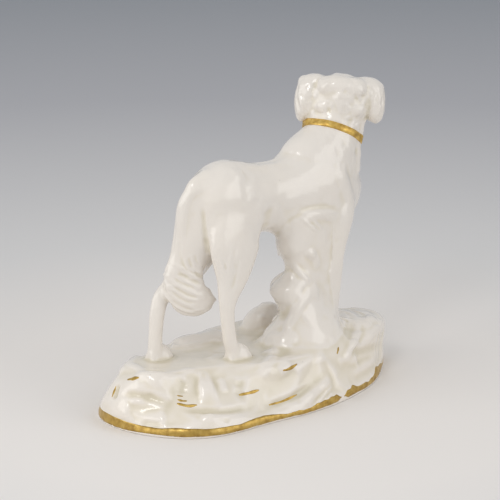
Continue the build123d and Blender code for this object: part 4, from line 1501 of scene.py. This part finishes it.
# Distance along the neck, and rise above the clay
PROFILE = [
    (-1.3, -0.4), (-1.3, 0.2), (-1.1, 0.42), (-0.6, 0.58), (0.0, 0.65), (0.6, 0.58), (1.1, 0.42),
    (1.3, 0.2), (1.3, -0.4),
]
COLLAR_STEPS, COLLAR_EDGES = 120, (-1.5 * mm, 1.5 * mm)
PROBE_FROM, PROBE_REACH = 1.2 * mm, 2.0 * mm
neck_tree = joined(["torso", "head"])
rings = []
for step in range(COLLAR_STEPS):
    angle = math.tau * step / COLLAR_STEPS
    way = collar_side * math.cos(angle) + collar_front * math.sin(angle)
    edges = [neck_tree.ray_cast(collar_centre + collar_lean * offset, way)[3] for offset in COLLAR_EDGES]
    for offset, rise in PROFILE:
        start_point = collar_centre + collar_lean * (offset * mm)
        reach = np.interp(offset * mm, COLLAR_EDGES, edges)
        outside = reach + PROBE_FROM
        _, facing, _, depth = skin_tree.ray_cast(start_point + way * outside, -way, PROBE_REACH)
        if depth is not None and facing.dot(way) > 0:
            reach = outside - depth
        rings.append(np.array(start_point + way * (reach + rise * mm)))
grid = np.arange(COLLAR_STEPS * len(PROFILE)).reshape(COLLAR_STEPS, len(PROFILE))
on, over = np.roll(grid, -1, 0), np.roll(grid, -1, 1)
both = np.roll(on, -1, 1)
collar_faces = np.stack([grid, over, both, on], -1).reshape(-1, 4)
# The lighter gold: painted light on the collar
collar = finish_gilt(make_object("gilt_collar", np.array(rings), collar_faces), lit_collar_gold)
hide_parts("collar")
print(collar.name, len(collar.data.polygons), "faces")

# %% [markdown]
# ## Underside
# The floor slab is plain, with a vent for the kiln. It could be modelled again here, but CAD already holds
# all of it, so it keeps its shape and only gets bare fired clay.

# %% Underside
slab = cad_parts["base_floor"]
slab.data.materials.clear()
slab.data.materials.append(unglazed)
print("floor slab:", slab.data.materials[0].name)

# %% [markdown]
# ## Table
# A pale sheet lies under the dog and darkens with distance, as a studio sweep does away from the lamp. The
# darkening is painted shade: one big disc with a colour that follows the distance from its middle does this
# without a curved backdrop.

# %% Table
RINGS, SPOKES, TABLE_DROP = [0.05, 0.1, 0.2, 0.4, 0.8, 1.6, 4.0, 12.0], 96, 0.0001
# Painted shade: the sheet's colour darkens with the distance from its middle, in metres
SHADE_TONES = [
    (0.0, (0.855, 0.825, 0.80)), (0.1, (0.84, 0.81, 0.785)), (0.2, (0.715, 0.71, 0.71)),
    (0.5, (0.49, 0.495, 0.525)), (0.85, (0.36, 0.38, 0.415)),
]
spokes = [math.tau * k / SPOKES for k in range(SPOKES)]
table_places = [(r * math.cos(angle), r * math.sin(angle), 0) for r in RINGS for angle in spokes]
table_faces = []
for ring in range(len(RINGS) - 1):
    inner, outer = ring * SPOKES, (ring + 1) * SPOKES
    for k in range(SPOKES):
        after = (k + 1) % SPOKES
        table_faces.append([outer + k, outer + after, inner + after, inner + k])
table_faces.append(list(range(SPOKES)))
table_mesh = bpy.data.meshes.new("table")
table_mesh.from_pydata(table_places, [], table_faces)
table = bpy.data.objects.new("table", table_mesh)
table.location.z = -TABLE_DROP
bpy.context.scene.collection.objects.link(table)
sheet, tree, shader, add = new_material("table_sheet")
place = add("ShaderNodeTexCoord").outputs["Object"]
reach = add("ShaderNodeVectorMath", {0: place}, operation="LENGTH").outputs["Value"]
scaled = add("ShaderNodeMapRange", {"Value": reach, "From Min": 0.0, "From Max": 1.0}).outputs["Result"]
tree.links.new(ramp(add, scaled, SHADE_TONES), shader.inputs["Base Color"])
shader.inputs["Roughness"].default_value = 0.7
shader.inputs["Specular IOR Level"].default_value = 0.1
table_mesh.materials.append(sheet)
print("table:", 2 * RINGS[-1], "m across")

# %% [markdown]
# ## Light
# White porcelain burns out easily, so the light is soft and even: two wide screens at the sides, a small
# lamp that gives the glaze its sparkle, and a pale world that fills the shadows. Places are measured along
# the camera's own directions, so the dog is lit as the picture shows it.

# %% Light
WARM_WHITE, CLEAR_WHITE = (1.0, 0.985, 0.955), (1.0, 1.0, 0.99)
WORLD_WHITE, WORLD_STRENGTH = (0.985, 0.99, 1.0, 1.0), 0.61
# Metres towards the camera, to its left and up, then the size, the power and the colour
LAMPS = {
    "left_screen": ((0.45, 0.9, 0.32), 1.0, 3.7, WARM_WHITE),
    "right_screen": ((0.45, -0.9, 0.28), 1.0, 3.1, WARM_WHITE),
    "sparkle": ((0.36, 0.14, 0.35), 0.16, 0.42, CLEAR_WHITE),
}


def from_camera(toward, leftward, upward):
    """A place for a lamp, measured from the dog along the camera's own directions, in metres."""
    flat = np.array([back[0], back[1], 0]) / np.hypot(back[0], back[1])
    return AIM + flat * toward - right * leftward + np.array([0, 0, upward])


for name, (offset, size, power, colour) in LAMPS.items():
    light = bpy.data.lights.new(name, "AREA")
    light.shape, light.size, light.energy, light.color = "DISK", size, power, colour
    lamp = bpy.data.objects.new(name, light)
    place = from_camera(*offset)
    lamp.location = place
    lamp.rotation_euler = (Vector(AIM) - Vector(place)).to_track_quat("-Z", "Y").to_euler()
    bpy.context.scene.collection.objects.link(lamp)
world = bpy.data.worlds.new("studio")
bpy.context.scene.world = world
world.use_nodes = True
world.node_tree.nodes["Background"].inputs["Color"].default_value = WORLD_WHITE
world.node_tree.nodes["Background"].inputs["Strength"].default_value = WORLD_STRENGTH
bpy.context.scene.view_settings.view_transform = "Standard"
print("lamps:", len(LAMPS))
